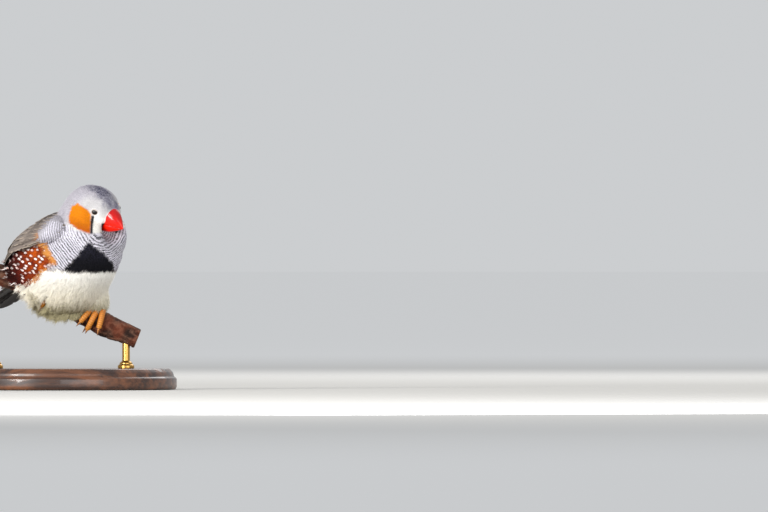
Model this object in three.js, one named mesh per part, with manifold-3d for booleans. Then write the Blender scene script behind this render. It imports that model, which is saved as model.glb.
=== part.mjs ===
// A male zebra finch, life size, fluffed up on a sloping twig that two rods hold over a flat round base.
// Millimetres, +Z up. The origin is the centre of the base's underside. The twig runs along X, and the bird
// looks towards -Y and +X. Inside the bird's own group +X is forward, +Y is its left side and +Z is up.
import * as THREE from "three";
import { mergeVertices } from "three/addons/utils/BufferGeometryUtils.js";
import Module from "manifold-3d";

const wasm = await Module();
wasm.setup();

const GAP = 0.3; // between neighbouring pieces
const SLIVER = 0.03; // edges shorter than this are closed up
const DEG = Math.PI / 180;

// The bird's pose
const BODY_PLACE = [5, -10, 49]; // the middle of the body over the base
const BODY_YAW = -52 * DEG; // forward, turned from +X towards -Y
const HEAD_PLACE = [14.5, 2.1, 19.8];
const HEAD_YAW = 4 * DEG;
const HEAD_PITCH = 15 * DEG;
const HEAD_ROLL = 8 * DEG;

// The body is the smooth outline round a few eggs: centre, half length, half width, half depth, tilt upwards
const BODY_EGGS = [
  { at: [1.4, 0, -0.2], half: [20, 18.2, 16.7], tilt: 34 * DEG },
  { at: [-8, 0, 0.5], half: [17.5, 21, 11.5], tilt: 35 * DEG },
  { at: [-3.5, 0, -9.8], half: [15, 13, 11.4], tilt: 12 * DEG },
  { at: [-19, 0, -3.8], half: [10, 8.5, 6], tilt: 27 * DEG },
];
const NECK_EGGS = [
  { at: [0, 0, 0], half: [11.6, 11.4, 10.8], tilt: 30 * DEG },
  { at: [-5.2, -0.4, 2.6], half: [10.8, 11.4, 8.6], tilt: 34 * DEG },
];
const NECK_PLACE = [12.8, 1.8, 11.2];
const HEAD_EGGS = [
  { at: [-2.3, 0, 0.6], half: [10.8, 9.2, 8.2], tilt: 0 },
  { at: [0.4, 0, -2.2], half: [7.8, 8.1, 7.4], tilt: -12 * DEG },
  { at: [3.2, 0, -0.9], half: [6.4, 5.4, 6.4], tilt: -20 * DEG },
  { at: [-6.1, 0, -3.3], half: [9, 10.3, 7.5], tilt: 18 * DEG },
];
const EGG_BLEND = 9; // the higher, the tighter the crease between two eggs

// The thin cuts that part the head, the neck and the body, in the bird's frame
const HEAD_CUT = { at: [11, 1.6, 13], lean: 16 * DEG };
const NECK_CUT = { at: [8.5, 1, 8], lean: 24 * DEG };

// The bill, in the head's frame
const BILL = { root: [7.2, 0, -1.3], length: 8.8, width: 8, depth: 10.2, droop: 12 * DEG };
const BILL_SIDES = { upper: 0.85, lower: 0.5 }; // the lower, the squarer the bill's sides
const MOUTH = { bend: 2.4, corner: 2, level: -0.8, drop: -3 * DEG };
const NOSTRIL = { at: [2.5, 2.1, 3.9], radius: 0.42 };

// The eyes, in the head's frame
const EYE = { towards: [5.91, 6.4, 1.7], radius: 1.6, opening: 1.1, lid: 0.22, proud: 0.25 };

// Feathers
const VANE = 0.6; // thickness
const VANE_POINT = 0.55; // how far along a vane its rounded tip begins
const WING_FRONT = 13;
const WING_REAR = -37;
const WING_AXIS_FRONT = 6;
const WING_AXIS_REAR = -11;
const WING_TIP_OFF = 4.6; // from the tail's axis out to the folded wing's tip
const WING_EDGES = [14, 77]; // lower and upper edge, in degrees up from level
// Tiers of a wing, from the bend back. Each goes from its lowest feather to its highest: places along the
// wing of roots and tips, angles of both in degrees, half widths, and how far the tips stand off
const WING_TIERS = [
  { count: 7, steps: [3, 2], root: [0.4, 0.44], tip: [1, 0.77], from: [17, 38], to: [6, 52], half: [2.3, 2.7], off: [0.2, 1.1] },
  { count: 5, steps: [4, 2], root: [0.2, 0.26], tip: [0.73, 0.63], from: [36, 66], to: [38, 68], half: [3.1, 3.8], off: [1.1, 1.5] },
  { count: 7, steps: [4, 1], root: [0.1, 0.12], tip: [0.44, 0.39], from: [18, 69], to: [16, 70], half: [2.6, 3], off: [1.4, 1.7] },
  { count: 6, steps: [3, 1], root: [0.02, 0.04], tip: [0.27, 0.22], from: [26, 66], to: [18, 69], half: [2.7, 3], off: [1.8, 2] },
];
const TAIL = { root: [-19.5, 0, -2.8], length: 40, half: 2.7, slope: 21 * DEG, pairs: 6, step: 0.4 };
const TAIL_FAN = { root: 0.35, spread: 0.42 }; // between one pair and the next
const TAIL_COVERTS = { pairs: 3, length: 19, half: 2.8, rise: 1.5 };

// The twig
const TWIG_RADIUS = 3.9;
const TWIG_Y = -6;
const TWIG_COURSE = [
  [-27.5, 46.2],
  [-12, 40],
  [0, 33.6],
  [12, 27.6],
  [22, 23.2],
  [31, 19.6],
];

// Feet: where each one stands along X, and the toes' reach round the twig
const FEET = { right: -4.2, left: 13.8 };
const TOE = 1.1; // radius
const TOES = [
  { name: "middle", root: 0, spread: -0.4, from: 70, to: -50, claw: 3.8 },
  { name: "inner", root: -1.9, spread: -4, from: 64, to: -30, claw: 3.2 },
  { name: "outer", root: 1.9, spread: 3.4, from: 64, to: -20, claw: 3.2 },
  { name: "hind", root: 0, spread: -1.2, from: 114, to: 226, claw: 4.2 },
];

// The stand
// Half profile of the turned base: a wide foot, a step in and a slanted rim round a flat top
const BASE_PROFILE = [[0, 0], [46, 0], [46, 4.2], [44.7, 5.1], [44.7, 6.4], [43.2, 8], [0, 8]];
const BASE_HEIGHT = 8;
const ROD = { radius: 1.5, collar: 3.2, collarHeight: 2.2, xs: [-24, 26.5] };

const COLOURS = {
  grey: 0x9a959c,
  barred: 0x8f8b93,
  white: 0xf2ecdf,
  brown: 0x6f645e,
  black: 0x17161a,
  bill: 0xd8210d,
  toes: 0xe07a2c,
  claws: 0xc99a6a,
  bark: 0x5b4438,
  wood: 0x4a2f20,
  brass: 0xb08d4a,
};

// Solids and meshes
function solidFrom(geometry) {
  const bare = new THREE.BufferGeometry();
  bare.setAttribute("position", geometry.getAttribute("position").clone());
  if (geometry.index) bare.setIndex(geometry.index.clone());
  const merged = mergeVertices(bare, 1e-4);
  const kept = [];
  const corners = merged.index.array;
  for (let i = 0; i < corners.length; i += 3) {
    const [a, b, c] = [corners[i], corners[i + 1], corners[i + 2]];
    if (a !== b && b !== c && a !== c) kept.push(a, b, c);
  }
  return new wasm.Manifold(
    new wasm.Mesh({
      numProp: 3,
      vertProperties: merged.getAttribute("position").array,
      triVerts: new Uint32Array(kept),
    }),
  );
}

function geometryFrom(solid) {
  const cut = solid.getMesh();
  const geometry = new THREE.BufferGeometry();
  geometry.setAttribute("position", new THREE.BufferAttribute(cut.vertProperties, 3));
  geometry.setIndex(new THREE.BufferAttribute(cut.triVerts, 1));
  geometry.computeVertexNormals();
  return geometry;
}

function largest(solid) {
  return solid.decompose().sort((a, b) => b.volume() - a.volume())[0];
}

function union(geometries) {
  return geometries.map(solidFrom).reduce((whole, piece) => whole.add(piece));
}

function lessAll(solid, cutters) {
  return cutters.reduce((rest, cutter) => rest.subtract(cutter), solid);
}

function finish(colour, roughness, metalness = 0) {
  return new THREE.MeshStandardMaterial({ color: colour, roughness, metalness });
}

// A named mesh in a group, without its smallest slivers and of its largest closed surface alone
function addNode(group, name, solid, material) {
  const mesh = new THREE.Mesh(geometryFrom(largest(solid.simplify(SLIVER))), material);
  mesh.name = name;
  group.add(mesh);
  return mesh;
}

// Moves a solid from one group's frame into another's
function carried(solid, fromGroup, toGroup) {
  fromGroup.updateWorldMatrix(true, false);
  toGroup.updateWorldMatrix(true, false);
  const move = toGroup.matrixWorld.clone().invert().multiply(fromGroup.matrixWorld);
  return solid.transform(move.elements);
}

// A repeatable run of numbers from 0 to 1
function seeded(start) {
  let state = start * 7919;
  return () => {
    state = (state * 16807 + 11) % 2147483647;
    return state / 2147483647;
  };
}

// How far a ray from the frame's origin runs before it leaves an egg
function reach(egg, ray) {
  const [cos, sin] = [Math.cos(egg.tilt), Math.sin(egg.tilt)];
  const turned = ([x, y, z]) => [x * cos + z * sin, y, z * cos - x * sin];
  const d = turned([ray.x, ray.y, ray.z]).map((value, i) => value / egg.half[i]);
  const c = turned(egg.at).map((value, i) => value / egg.half[i]);
  const dd = d[0] * d[0] + d[1] * d[1] + d[2] * d[2];
  const dc = d[0] * c[0] + d[1] * c[1] + d[2] * c[2];
  const cc = c[0] * c[0] + c[1] * c[1] + c[2] * c[2];
  const root = dc * dc - dd * (cc - 1);
  return root > 0 ? Math.max(0, (dc + Math.sqrt(root)) / dd) : 0;
}

function outlineReach(eggs, ray) {
  const sum = eggs.reduce((total, egg) => total + reach(egg, ray) ** EGG_BLEND, 0);
  return sum ** (1 / EGG_BLEND);
}

// The smooth outline round some eggs, grown outwards for a neighbour to keep clear of
function eggForm(eggs, around, along, grow = 0) {
  const form = new THREE.SphereGeometry(1, around, along);
  form.rotateX(Math.PI / 2);
  form.rotateY(-Math.PI / 4);
  const at = form.getAttribute("position");
  const ray = new THREE.Vector3();
  for (let i = 0; i < at.count; i++) {
    ray.fromBufferAttribute(at, i).normalize();
    ray.multiplyScalar(outlineReach(eggs, ray) + grow);
    at.setXYZ(i, ray.x, ray.y, ray.z);
  }
  return form;
}

// A round bar along a curve, with its own radius at each step
function bar(curve, radiusAt, sides, steps) {
  const form = new THREE.CylinderGeometry(1, 1, 1, sides, steps);
  const frames = curve.computeFrenetFrames(steps, false);
  const at = form.getAttribute("position");
  const point = new THREE.Vector3();
  for (let i = 0; i < at.count; i++) {
    const share = 0.5 - at.getY(i);
    const step = Math.round(share * steps);
    const radius = radiusAt(share);
    curve.getPointAt(share, point);
    point.addScaledVector(frames.normals[step], at.getX(i) * radius);
    point.addScaledVector(frames.binormals[step], at.getZ(i) * radius);
    at.setXYZ(i, point.x, point.y, point.z);
  }
  return form;
}

// A thin plate of even thickness, split alike on both faces. place(u, v) gives the point and the way out
function plate(place, lengthSteps, widthSteps, thickness) {
  const grid = new THREE.PlaneGeometry(1, 2, lengthSteps, widthSteps);
  const at = grid.getAttribute("position");
  const count = at.count;
  const points = [];
  const middle = place(0.5, 0);
  const onward = place(0.51, 0).point.sub(middle.point);
  const across = place(0.5, 0.01).point.sub(middle.point);
  const turn = Math.sign(onward.cross(across).dot(middle.out));
  for (const side of [turn, -turn]) {
    for (let i = 0; i < count; i++) {
      const { point, out } = place(at.getX(i) + 0.5, at.getY(i));
      points.push(...point.addScaledVector(out, (side * thickness) / 2).toArray());
    }
  }
  const faces = [];
  for (let i = 0; i < grid.index.count; i += 3) {
    const [a, b, c] = [0, 1, 2].map((k) => grid.index.getX(i + k));
    faces.push(a, b, c, a + count, c + count, b + count);
  }
  const columns = lengthSteps + 1;
  const rim = [];
  for (let c = 0; c < lengthSteps; c++) rim.push(c);
  for (let r = 0; r < widthSteps; r++) rim.push(lengthSteps + r * columns);
  for (let c = lengthSteps; c > 0; c--) rim.push(widthSteps * columns + c);
  for (let r = widthSteps; r > 0; r--) rim.push(r * columns);
  rim.forEach((a, i) => {
    const b = rim[(i + 1) % rim.length];
    faces.push(a, b, a + count, b, b + count, a + count);
  });
  const form = new THREE.BufferGeometry();
  form.setAttribute("position", new THREE.Float32BufferAttribute(points, 3));
  form.setIndex(faces);
  return form;
}

// Everything on one side of a plane through a point that leans forward from level
function sideOf({ at, lean }, up, shift = 0) {
  const size = 120;
  const block = new THREE.BoxGeometry(size, size, size);
  block.translate(0, 0, up * (size / 2 + shift));
  block.rotateY(lean);
  block.translate(...at);
  return solidFrom(block);
}

// The groups
const part = new THREE.Group();
const bird = new THREE.Group();
bird.position.set(...BODY_PLACE);
bird.rotation.z = BODY_YAW;
part.add(bird);
const head = new THREE.Group();
head.position.set(...HEAD_PLACE);
head.rotation.set(HEAD_ROLL, HEAD_PITCH, HEAD_YAW, "ZYX");
bird.add(head);

// The flesh, whole, in the bird's frame
function fleshWhole(grow) {
  const trunk = solidFrom(eggForm(BODY_EGGS, 34, 22, grow));
  const neck = solidFrom(eggForm(NECK_EGGS, 28, 18, grow).translate(...NECK_PLACE));
  const skull = solidFrom(eggForm(HEAD_EGGS, 26, 20, grow));
  return trunk.add(neck).add(carried(skull, head, bird));
}

// The bill: a cone with a curved ridge, whose root follows the face
function billForm() {
  const shell = new THREE.SphereGeometry(1, 20, 20);
  shell.rotateZ(-Math.PI / 2);
  const at = shell.getAttribute("position");
  for (let i = 0; i < at.count; i++) {
    const [x, y, z] = [at.getX(i), at.getY(i), at.getZ(i)];
    const along = Math.max(0, x);
    const round = Math.hypot(y, z) || 1;
    const end = Math.sqrt(Math.max(0, 1 - x * x));
    const taper = (power) => (x > 0 ? 1 - 0.96 * along ** power : end);
    const ridge = z > 0 ? 2.1 : 1.5;
    const bulge = Math.abs(y / round) ** (z > 0 ? BILL_SIDES.upper : BILL_SIDES.lower);
    const across = Math.sign(y) * bulge * (BILL.width / 2) * taper(1.7);
    const upwards = (z / round) * (BILL.depth / 2) * taper(ridge);
    at.setXYZ(i, x > 0 ? x * BILL.length : x * 2.4, across, upwards);
  }
  shell.rotateY(BILL.droop);
  shell.translate(...BILL.root);
  return shell;
}

// The thin slot between the mandibles: level along the bill, kinked down at the corner of the mouth
function mouthSlot() {
  const slot = new THREE.Shape();
  const end = BILL.length + 4;
  const half = GAP / 2;
  slot.moveTo(-4, -MOUTH.corner + half);
  slot.lineTo(MOUTH.bend, half);
  slot.lineTo(end, half);
  slot.lineTo(end, -half);
  slot.lineTo(MOUTH.bend, -half);
  slot.lineTo(-4, -MOUTH.corner - half);
  const form = new THREE.ExtrudeGeometry(slot, { depth: 20, bevelEnabled: false });
  form.translate(0, 0, -10);
  form.rotateX(Math.PI / 2);
  form.translate(0, 0, MOUTH.level);
  form.rotateY(BILL.droop + MOUTH.drop);
  form.translate(...BILL.root);
  return solidFrom(form);
}

function nostril(side) {
  const [along, aside, up] = NOSTRIL.at;
  const pit = new THREE.SphereGeometry(NOSTRIL.radius, 6, 4);
  pit.translate(along, side * aside, up);
  pit.rotateY(BILL.droop);
  pit.translate(...BILL.root);
  return solidFrom(pit);
}

// The middle of an eyeball, let into the face so that only its front stands proud
function eyeAt(side) {
  const [x, y, z] = EYE.towards;
  const ray = new THREE.Vector3(x, side * y, z).normalize();
  const surface = ray.clone().multiplyScalar(outlineReach(HEAD_EGGS, ray));
  return surface.addScaledVector(eyeAim(side), EYE.proud - EYE.radius);
}

function eyeBall(side, grow = 0) {
  const ball = new THREE.SphereGeometry(EYE.radius + grow, 12, 9);
  const at = eyeAt(side);
  ball.translate(at.x, at.y, at.z);
  return solidFrom(ball);
}

// The way an eye looks: outwards, a little forward
function eyeAim(side) {
  return new THREE.Vector3(0.5, side, 0.08).normalize();
}

function lidRing(side) {
  const ring = new THREE.TorusGeometry(EYE.opening + EYE.lid, EYE.lid, 6, 16);
  const turn = new THREE.Quaternion().setFromUnitVectors(new THREE.Vector3(0, 0, 1), eyeAim(side));
  ring.applyQuaternion(turn);
  const middle = eyeAt(side).addScaledVector(eyeAim(side), EYE.radius - EYE.proud);
  ring.translate(middle.x, middle.y, middle.z);
  return solidFrom(ring);
}

function buildHeadAndBody() {
  const flesh = fleshWhole(0);
  const skull = largest(flesh.intersect(sideOf(HEAD_CUT, 1, GAP / 2)));
  const collar = largest(
    flesh.intersect(sideOf(HEAD_CUT, -1, GAP / 2)).intersect(sideOf(NECK_CUT, 1, GAP / 2)),
  );
  const trunk = largest(flesh.intersect(sideOf(NECK_CUT, -1, GAP / 2)));

  const bill = solidFrom(billForm());
  const slot = mouthSlot();
  const facing = carried(fleshWhole(GAP), bird, head);
  const halves = bill.subtract(facing).subtract(slot).decompose();
  halves.sort((a, b) => b.volume() - a.volume());
  const [first, second] = halves;
  const top = (solid) => solid.boundingBox().max[2];
  const [upper, lower] = top(first) > top(second) ? [first, second] : [second, first];

  let face = carried(skull, bird, head);
  for (const side of [1, -1]) face = face.add(lidRing(side)).subtract(eyeBall(side, GAP));
  addNode(head, "head", face, finish(COLOURS.grey, 0.9));
  addNode(bird, "neck", collar, finish(COLOURS.barred, 0.9));
  const pierced = lessAll(upper, [nostril(1), nostril(-1)]);
  addNode(head, "bill_upper", pierced, finish(COLOURS.bill, 0.35));
  addNode(head, "bill_lower", lower, finish(COLOURS.bill, 0.35));
  addNode(head, "eye_left", eyeBall(1), finish(COLOURS.black, 0.05));
  addNode(head, "eye_right", eyeBall(-1), finish(COLOURS.black, 0.05));
  return trunk;
}

// The twig's middle line, as one smooth curve
const twigLine = new THREE.CatmullRomCurve3(
  TWIG_COURSE.map(([x, z]) => new THREE.Vector3(x, TWIG_Y, z)),
);

function twigRadius(share) {
  const knot = Math.exp(-(((share - 0.78) / 0.05) ** 2));
  return TWIG_RADIUS * (1 + 0.14 * knot + 0.05 * Math.sin(share * 17) + 0.06 * (share - 0.5));
}

function twigForm(grow = 0) {
  return solidFrom(bar(twigLine, (share) => twigRadius(share) + grow, 12, 20));
}

// The belly's fluff hangs down before and behind the twig, and is open under it
function notchUnderTwig() {
  const half = TWIG_RADIUS * 1.1 + GAP;
  const line = twigLine.getPoints(24).map((point) => new THREE.Vector2(point.x, point.z));
  const under = [new THREE.Vector2(line.at(-1).x, 0), new THREE.Vector2(line[0].x, 0)];
  const side = new THREE.ExtrudeGeometry(new THREE.Shape([...line, ...under]), {
    depth: 2 * half,
    bevelEnabled: false,
  });
  side.rotateX(Math.PI / 2);
  side.translate(0, TWIG_Y + half, 0);
  return solidFrom(side);
}

// The twig's share at a place along X
function twigShare(x) {
  let [low, high] = [0, 1];
  for (let i = 0; i < 24; i++) {
    const middle = (low + high) / 2;
    if (twigLine.getPointAt(middle).x < x) low = middle;
    else high = middle;
  }
  return low;
}

// A point round the twig: angle 0 is its front, 90 its top, 180 its back
function roundTwig(share, angle, off) {
  const along = twigLine.getTangentAt(share);
  const front = new THREE.Vector3(0, -1, 0);
  const top = new THREE.Vector3().crossVectors(front, along).normalize();
  if (top.z < 0) top.negate();
  return twigLine
    .getPointAt(share)
    .addScaledVector(front, Math.cos(angle) * off)
    .addScaledVector(top, Math.sin(angle) * off);
}

function toeCurve(x, toe, mirror) {
  const length = twigLine.getLength();
  const share = twigShare(x);
  const points = [];
  const steps = 7;
  for (let i = 0; i <= steps; i++) {
    const u = i / steps;
    const aside = (toe.root + (toe.spread - toe.root) * u) * mirror;
    const at = share + aside / length;
    const angle = (toe.from + (toe.to - toe.from) * u) * DEG;
    const off = twigRadius(at) + TOE + GAP + 0.12;
    points.push(roundTwig(at, angle, off));
  }
  return new THREE.CatmullRomCurve3(points);
}

// Toe pads swell between the joints and the toe thins to its claw
function toeRadius(share) {
  return TOE * (1 - 0.22 * share + 0.09 * Math.sin(share * Math.PI * 5));
}

function toeForm(x, toe, mirror, grow = 0) {
  return solidFrom(bar(toeCurve(x, toe, mirror), (share) => toeRadius(share) + grow, 7, 9));
}

// The hollow that the belly's fluff leaves round a foot
function footPocket(x, mirror) {
  const toes = TOES.map((toe) => bar(toeCurve(x, toe, mirror), () => TOE + 0.75, 6, 4));
  const claws = TOES.map((toe) => clawForm(x, toe, mirror, GAP));
  return claws.reduce((whole, claw) => whole.add(claw), union(toes).add(shankForm(x, GAP)));
}

function clawForm(x, toe, mirror, grow = 0) {
  const line = toeCurve(x, toe, mirror);
  const start = line.getPointAt(1);
  const on = line.getTangentAt(1);
  const before = line.getTangentAt(0.8);
  const bend = on.clone().sub(before).normalize();
  const tip = start.clone().addScaledVector(on, toe.claw).addScaledVector(bend, toe.claw * 0.2);
  const middle = start.clone().addScaledVector(on, toe.claw * 0.55);
  const root = start.clone().addScaledVector(on, GAP);
  const curve = new THREE.QuadraticBezierCurve3(root, middle, tip);
  return solidFrom(bar(curve, (share) => 0.62 * (1 - share * 0.82) + grow, 6, 4));
}

// The shank and the ankle knob that the toes grow from
function shankForm(x, grow = 0) {
  const share = twigShare(x);
  const knob = roundTwig(share, 90 * DEG, twigRadius(share) + GAP + 1.55);
  const up = knob.clone().add(new THREE.Vector3(0, 1.2, 7));
  const shank = bar(new THREE.LineCurve3(knob, up), () => 1.15 + grow, 8, 1);
  const ball = new THREE.SphereGeometry(1.5 + grow, 10, 7);
  ball.translate(knob.x, knob.y, knob.z);
  return union([shank, ball]);
}

function buildFeet() {
  const twig = twigForm(GAP);
  const taken = [];
  for (const [side, x] of Object.entries(FEET)) {
    const mirror = side === "left" ? 1 : -1;
    addNode(part, `leg_${side}`, shankForm(x).subtract(twig), finish(COLOURS.toes, 0.55));
    const grown = [shankForm(x, GAP)];
    for (const toe of TOES) {
      const form = lessAll(toeForm(x, toe, mirror), grown);
      addNode(part, `toe_${side}_${toe.name}`, form, finish(COLOURS.toes, 0.55));
      addNode(part, `claw_${side}_${toe.name}`, clawForm(x, toe, mirror), finish(COLOURS.claws, 0.4));
      grown.push(toeForm(x, toe, mirror, GAP), clawForm(x, toe, mirror, GAP));
    }
    taken.push(footPocket(x, mirror));
  }
  return taken;
}

// The folded wing lies over the body. s runs from its bend to its tip, angle from level up towards the back
function wingPlace(s, angle, lift, side) {
  const x = WING_FRONT + (WING_REAR - WING_FRONT) * s;
  const z = WING_AXIS_FRONT + (WING_AXIS_REAR - WING_AXIS_FRONT) * s;
  const way = new THREE.Vector3(0, side * Math.cos(angle), Math.sin(angle));
  const start = new THREE.Vector3(x, 0, z);
  let [low, high] = [0, 30];
  for (let i = 0; i < 18; i++) {
    const middle = (low + high) / 2;
    const probe = start.clone().addScaledVector(way, middle);
    const inside = probe.length() < outlineReach(BODY_EGGS, probe.clone().normalize());
    if (inside) low = middle;
    else high = middle;
  }
  const off = (low ** 4 + (WING_TIP_OFF + 2 * (1 - s)) ** 4) ** 0.25;
  return start.addScaledVector(way, off + GAP + lift);
}

function wingOut(s, angle, side) {
  const step = 0.02;
  const back = wingPlace(s + step, angle, 0, side).sub(wingPlace(s - step, angle, 0, side));
  const up = wingPlace(s, angle + step, 0, side).sub(wingPlace(s, angle - step, 0, side));
  return new THREE.Vector3().crossVectors(back, up).multiplyScalar(-side).normalize();
}

// A feather's half width along it, full soon after its root and rounded at its tip
function vaneHalf(u, half) {
  const grown = 0.6 + 0.4 * Math.min(1, u / 0.35);
  const tip = Math.max(0, (u - VANE_POINT) / (1 - VANE_POINT));
  return half * grown * Math.sqrt(1 - 0.9 * tip ** 2.4);
}

// One feather of a tier, its lower edge lying on the feather below and its upper edge under the one above
function wingVane(tier, share, side, seed) {
  const between = ([low, high]) => low + (high - low) * share;
  const [s0, s1] = [between(tier.root), between(tier.tip) - 0.012 * seed()];
  const [a0, a1] = [between(tier.from), between(tier.to) + 0.8 * (seed() - 0.5)];
  const [half, off] = [between(tier.half), between(tier.off)];
  const place = (u, v) => {
    const s = s0 + (s1 - s0) * u;
    const radius = 20 * (1 - s) + 5.5 * s;
    const angle = (a0 + (a1 - a0) * u) * DEG + (v * vaneHalf(u, half)) / radius;
    const lift = 0.5 + off * Math.min(1, u * 1.6) - 0.3 * v;
    return { point: wingPlace(s, angle, lift, side), out: wingOut(s, angle, side) };
  };
  return plate(place, ...tier.steps, VANE);
}

// The wing's arm and skin, which all its feathers are rooted in
function wingArm(side) {
  const [low, high] = WING_EDGES;
  const place = (u, v) => {
    const spread = Math.sin(Math.PI * (0.16 + 0.66 * u)) ** 0.7;
    const angle = ((low + high) / 2 - 4 * u + (v * spread * (high - low)) / 2) * DEG;
    const s = 0.01 + 0.62 * u;
    return { point: wingPlace(s, angle, 0.6, side), out: wingOut(s, angle, side) };
  };
  return plate(place, 6, 4, 1.2);
}

function wingForm(side) {
  const seed = seeded(side + 5);
  const pieces = [wingArm(side)];
  for (const tier of WING_TIERS) {
    for (let i = 0; i < tier.count; i++) {
      pieces.push(wingVane(tier, i / (tier.count - 1), side, seed));
    }
  }
  return union(pieces);
}

// A tail feather: the middle pair lies on top, and each pair outwards lies a step lower and is a little shorter
function tailVane(pair, side, length, half, rise) {
  const place = (u, v) => {
    const out = 0.5 + pair * (TAIL_FAN.root + TAIL_FAN.spread * u);
    const across = side * out + v * vaneHalf(u, half);
    const height = rise * (1 - 0.8 * u) - TAIL.step * pair - 0.02 * across ** 2;
    return { point: new THREE.Vector3(-u * length, across, height), out: new THREE.Vector3(0, 0, 1) };
  };
  return plate(place, 4, 2, VANE);
}

function tailForm() {
  const pieces = [];
  for (const side of [1, -1]) {
    for (let pair = 0; pair < TAIL.pairs; pair++) {
      pieces.push(tailVane(pair, side, TAIL.length - 0.16 * pair ** 2, TAIL.half, 0));
    }
    for (let pair = 0; pair < TAIL_COVERTS.pairs; pair++) {
      const length = TAIL_COVERTS.length - 1.7 * pair;
      pieces.push(tailVane(pair, side, length, TAIL_COVERTS.half, TAIL_COVERTS.rise));
    }
  }
  const forms = pieces.map((piece) => piece.rotateY(-TAIL.slope).translate(...TAIL.root));
  return union(forms);
}

function rodForm(x) {
  const top = twigLine.getPointAt(twigShare(x)).z;
  const low = BASE_HEIGHT + GAP;
  const profile = [
    [0, low],
    [ROD.collar, low],
    [ROD.collar, low + ROD.collarHeight],
    [ROD.radius, low + ROD.collarHeight + 0.8],
    [ROD.radius, top],
    [0, top],
  ].map(([r, z]) => new THREE.Vector2(r, z));
  const form = new THREE.LatheGeometry(profile, 16);
  form.rotateX(Math.PI / 2);
  form.translate(x, TWIG_Y, 0);
  return solidFrom(form);
}

function buildStand() {
  const profile = BASE_PROFILE.map(([r, z]) => new THREE.Vector2(r, z));
  const disc = new THREE.LatheGeometry(profile, 44);
  disc.rotateX(Math.PI / 2);
  addNode(part, "stand_base", solidFrom(disc), finish(COLOURS.wood, 0.5));
  const twig = twigForm(GAP);
  ROD.xs.forEach((x, i) => {
    addNode(part, `stand_rod_${i + 1}`, rodForm(x).subtract(twig), finish(COLOURS.brass, 0.3, 1));
  });
  addNode(part, "perch", twigForm(), finish(COLOURS.bark, 0.95));
}

const trunk = buildHeadAndBody();
buildStand();
const feet = buildFeet();
const cutters = [twigForm(GAP), notchUnderTwig(), ...feet].map((solid) => carried(solid, part, bird));
addNode(bird, "torso", lessAll(trunk, cutters), finish(COLOURS.white, 0.95));
const grownFlesh = fleshWhole(GAP);
addNode(bird, "tail", tailForm().subtract(grownFlesh), finish(COLOURS.black, 0.8));
for (const [name, side] of [["wing_left", 1], ["wing_right", -1]]) {
  const wing = lessAll(wingForm(side), [grownFlesh, ...cutters]);
  addNode(bird, name, wing, finish(COLOURS.brown, 0.85));
}

export default part;
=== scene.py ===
# %% [markdown]
# # A male zebra finch, fluffed up on its twig
# This lesson dresses the solids of a life-size display model. The bird is one skin under many thousand
# small feathers, with a glossy bill, two eyes, scaly toes and folded wings. It sits on a sloping twig,
# which two rods hold over a turned base. Lengths in the cells are millimetres until a mesh is made.

import math

import bpy
import numpy as np
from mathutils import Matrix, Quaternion, Vector
from mathutils.kdtree import KDTree


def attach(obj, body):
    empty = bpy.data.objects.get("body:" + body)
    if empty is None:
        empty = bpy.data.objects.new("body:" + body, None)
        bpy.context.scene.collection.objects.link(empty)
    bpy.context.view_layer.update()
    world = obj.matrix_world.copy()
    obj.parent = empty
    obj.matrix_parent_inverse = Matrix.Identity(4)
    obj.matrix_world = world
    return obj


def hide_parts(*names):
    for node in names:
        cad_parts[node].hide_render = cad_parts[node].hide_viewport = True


MM = 0.001
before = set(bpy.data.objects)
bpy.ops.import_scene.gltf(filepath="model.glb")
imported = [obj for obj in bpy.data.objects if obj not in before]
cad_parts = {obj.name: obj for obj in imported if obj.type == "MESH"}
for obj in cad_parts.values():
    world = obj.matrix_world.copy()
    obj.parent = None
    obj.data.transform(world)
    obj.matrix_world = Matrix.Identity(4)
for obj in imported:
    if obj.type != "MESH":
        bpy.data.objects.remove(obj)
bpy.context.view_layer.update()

# %% [markdown]
# ## Where the bird stands
# Forward, left and up are the easiest words for a bird, so its pieces are worked out in its own frame
# and turned into the room at the end. The head has a second frame, because it is turned and tipped.
# Small matrices do both moves for thousands of points at once.


# %% Frames of the body and of the head
def turn(axis, degrees):
    cos, sin = math.cos(math.radians(degrees)), math.sin(math.radians(degrees))
    if axis == "x":
        return np.array([[1, 0, 0], [0, cos, -sin], [0, sin, cos]])
    if axis == "y":
        return np.array([[cos, 0, sin], [0, 1, 0], [-sin, 0, cos]])
    return np.array([[cos, -sin, 0], [sin, cos, 0], [0, 0, 1]])


BODY_AT = np.array([5.0, -10.0, 49.0])
BODY_TURN = turn("z", -52)
HEAD_AT = np.array([14.5, 2.1, 19.8])
HEAD_TURN = turn("z", 4) @ turn("y", 15) @ turn("x", 8)


def body_to_room(points):
    return points @ BODY_TURN.T + BODY_AT


def room_to_body(points):
    return (points - BODY_AT) @ BODY_TURN


def head_to_body(points):
    return points @ HEAD_TURN.T + HEAD_AT


def body_to_head(points):
    return (points - HEAD_AT) @ HEAD_TURN


def unit(vectors):
    return vectors / np.maximum(np.linalg.norm(vectors, axis=-1, keepdims=True), 1e-9)


print("the bill points to", (BODY_TURN @ HEAD_TURN @ [1, 0, 0]).round(2))

# %% [markdown]
# ## Meshes from arrays
# Modelling by hand suits one feather, not fifty thousand. Every piece here is built as arrays of corner
# points and faces, and handed to Blender in one go, which takes a fraction of a second even for a coat.


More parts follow.
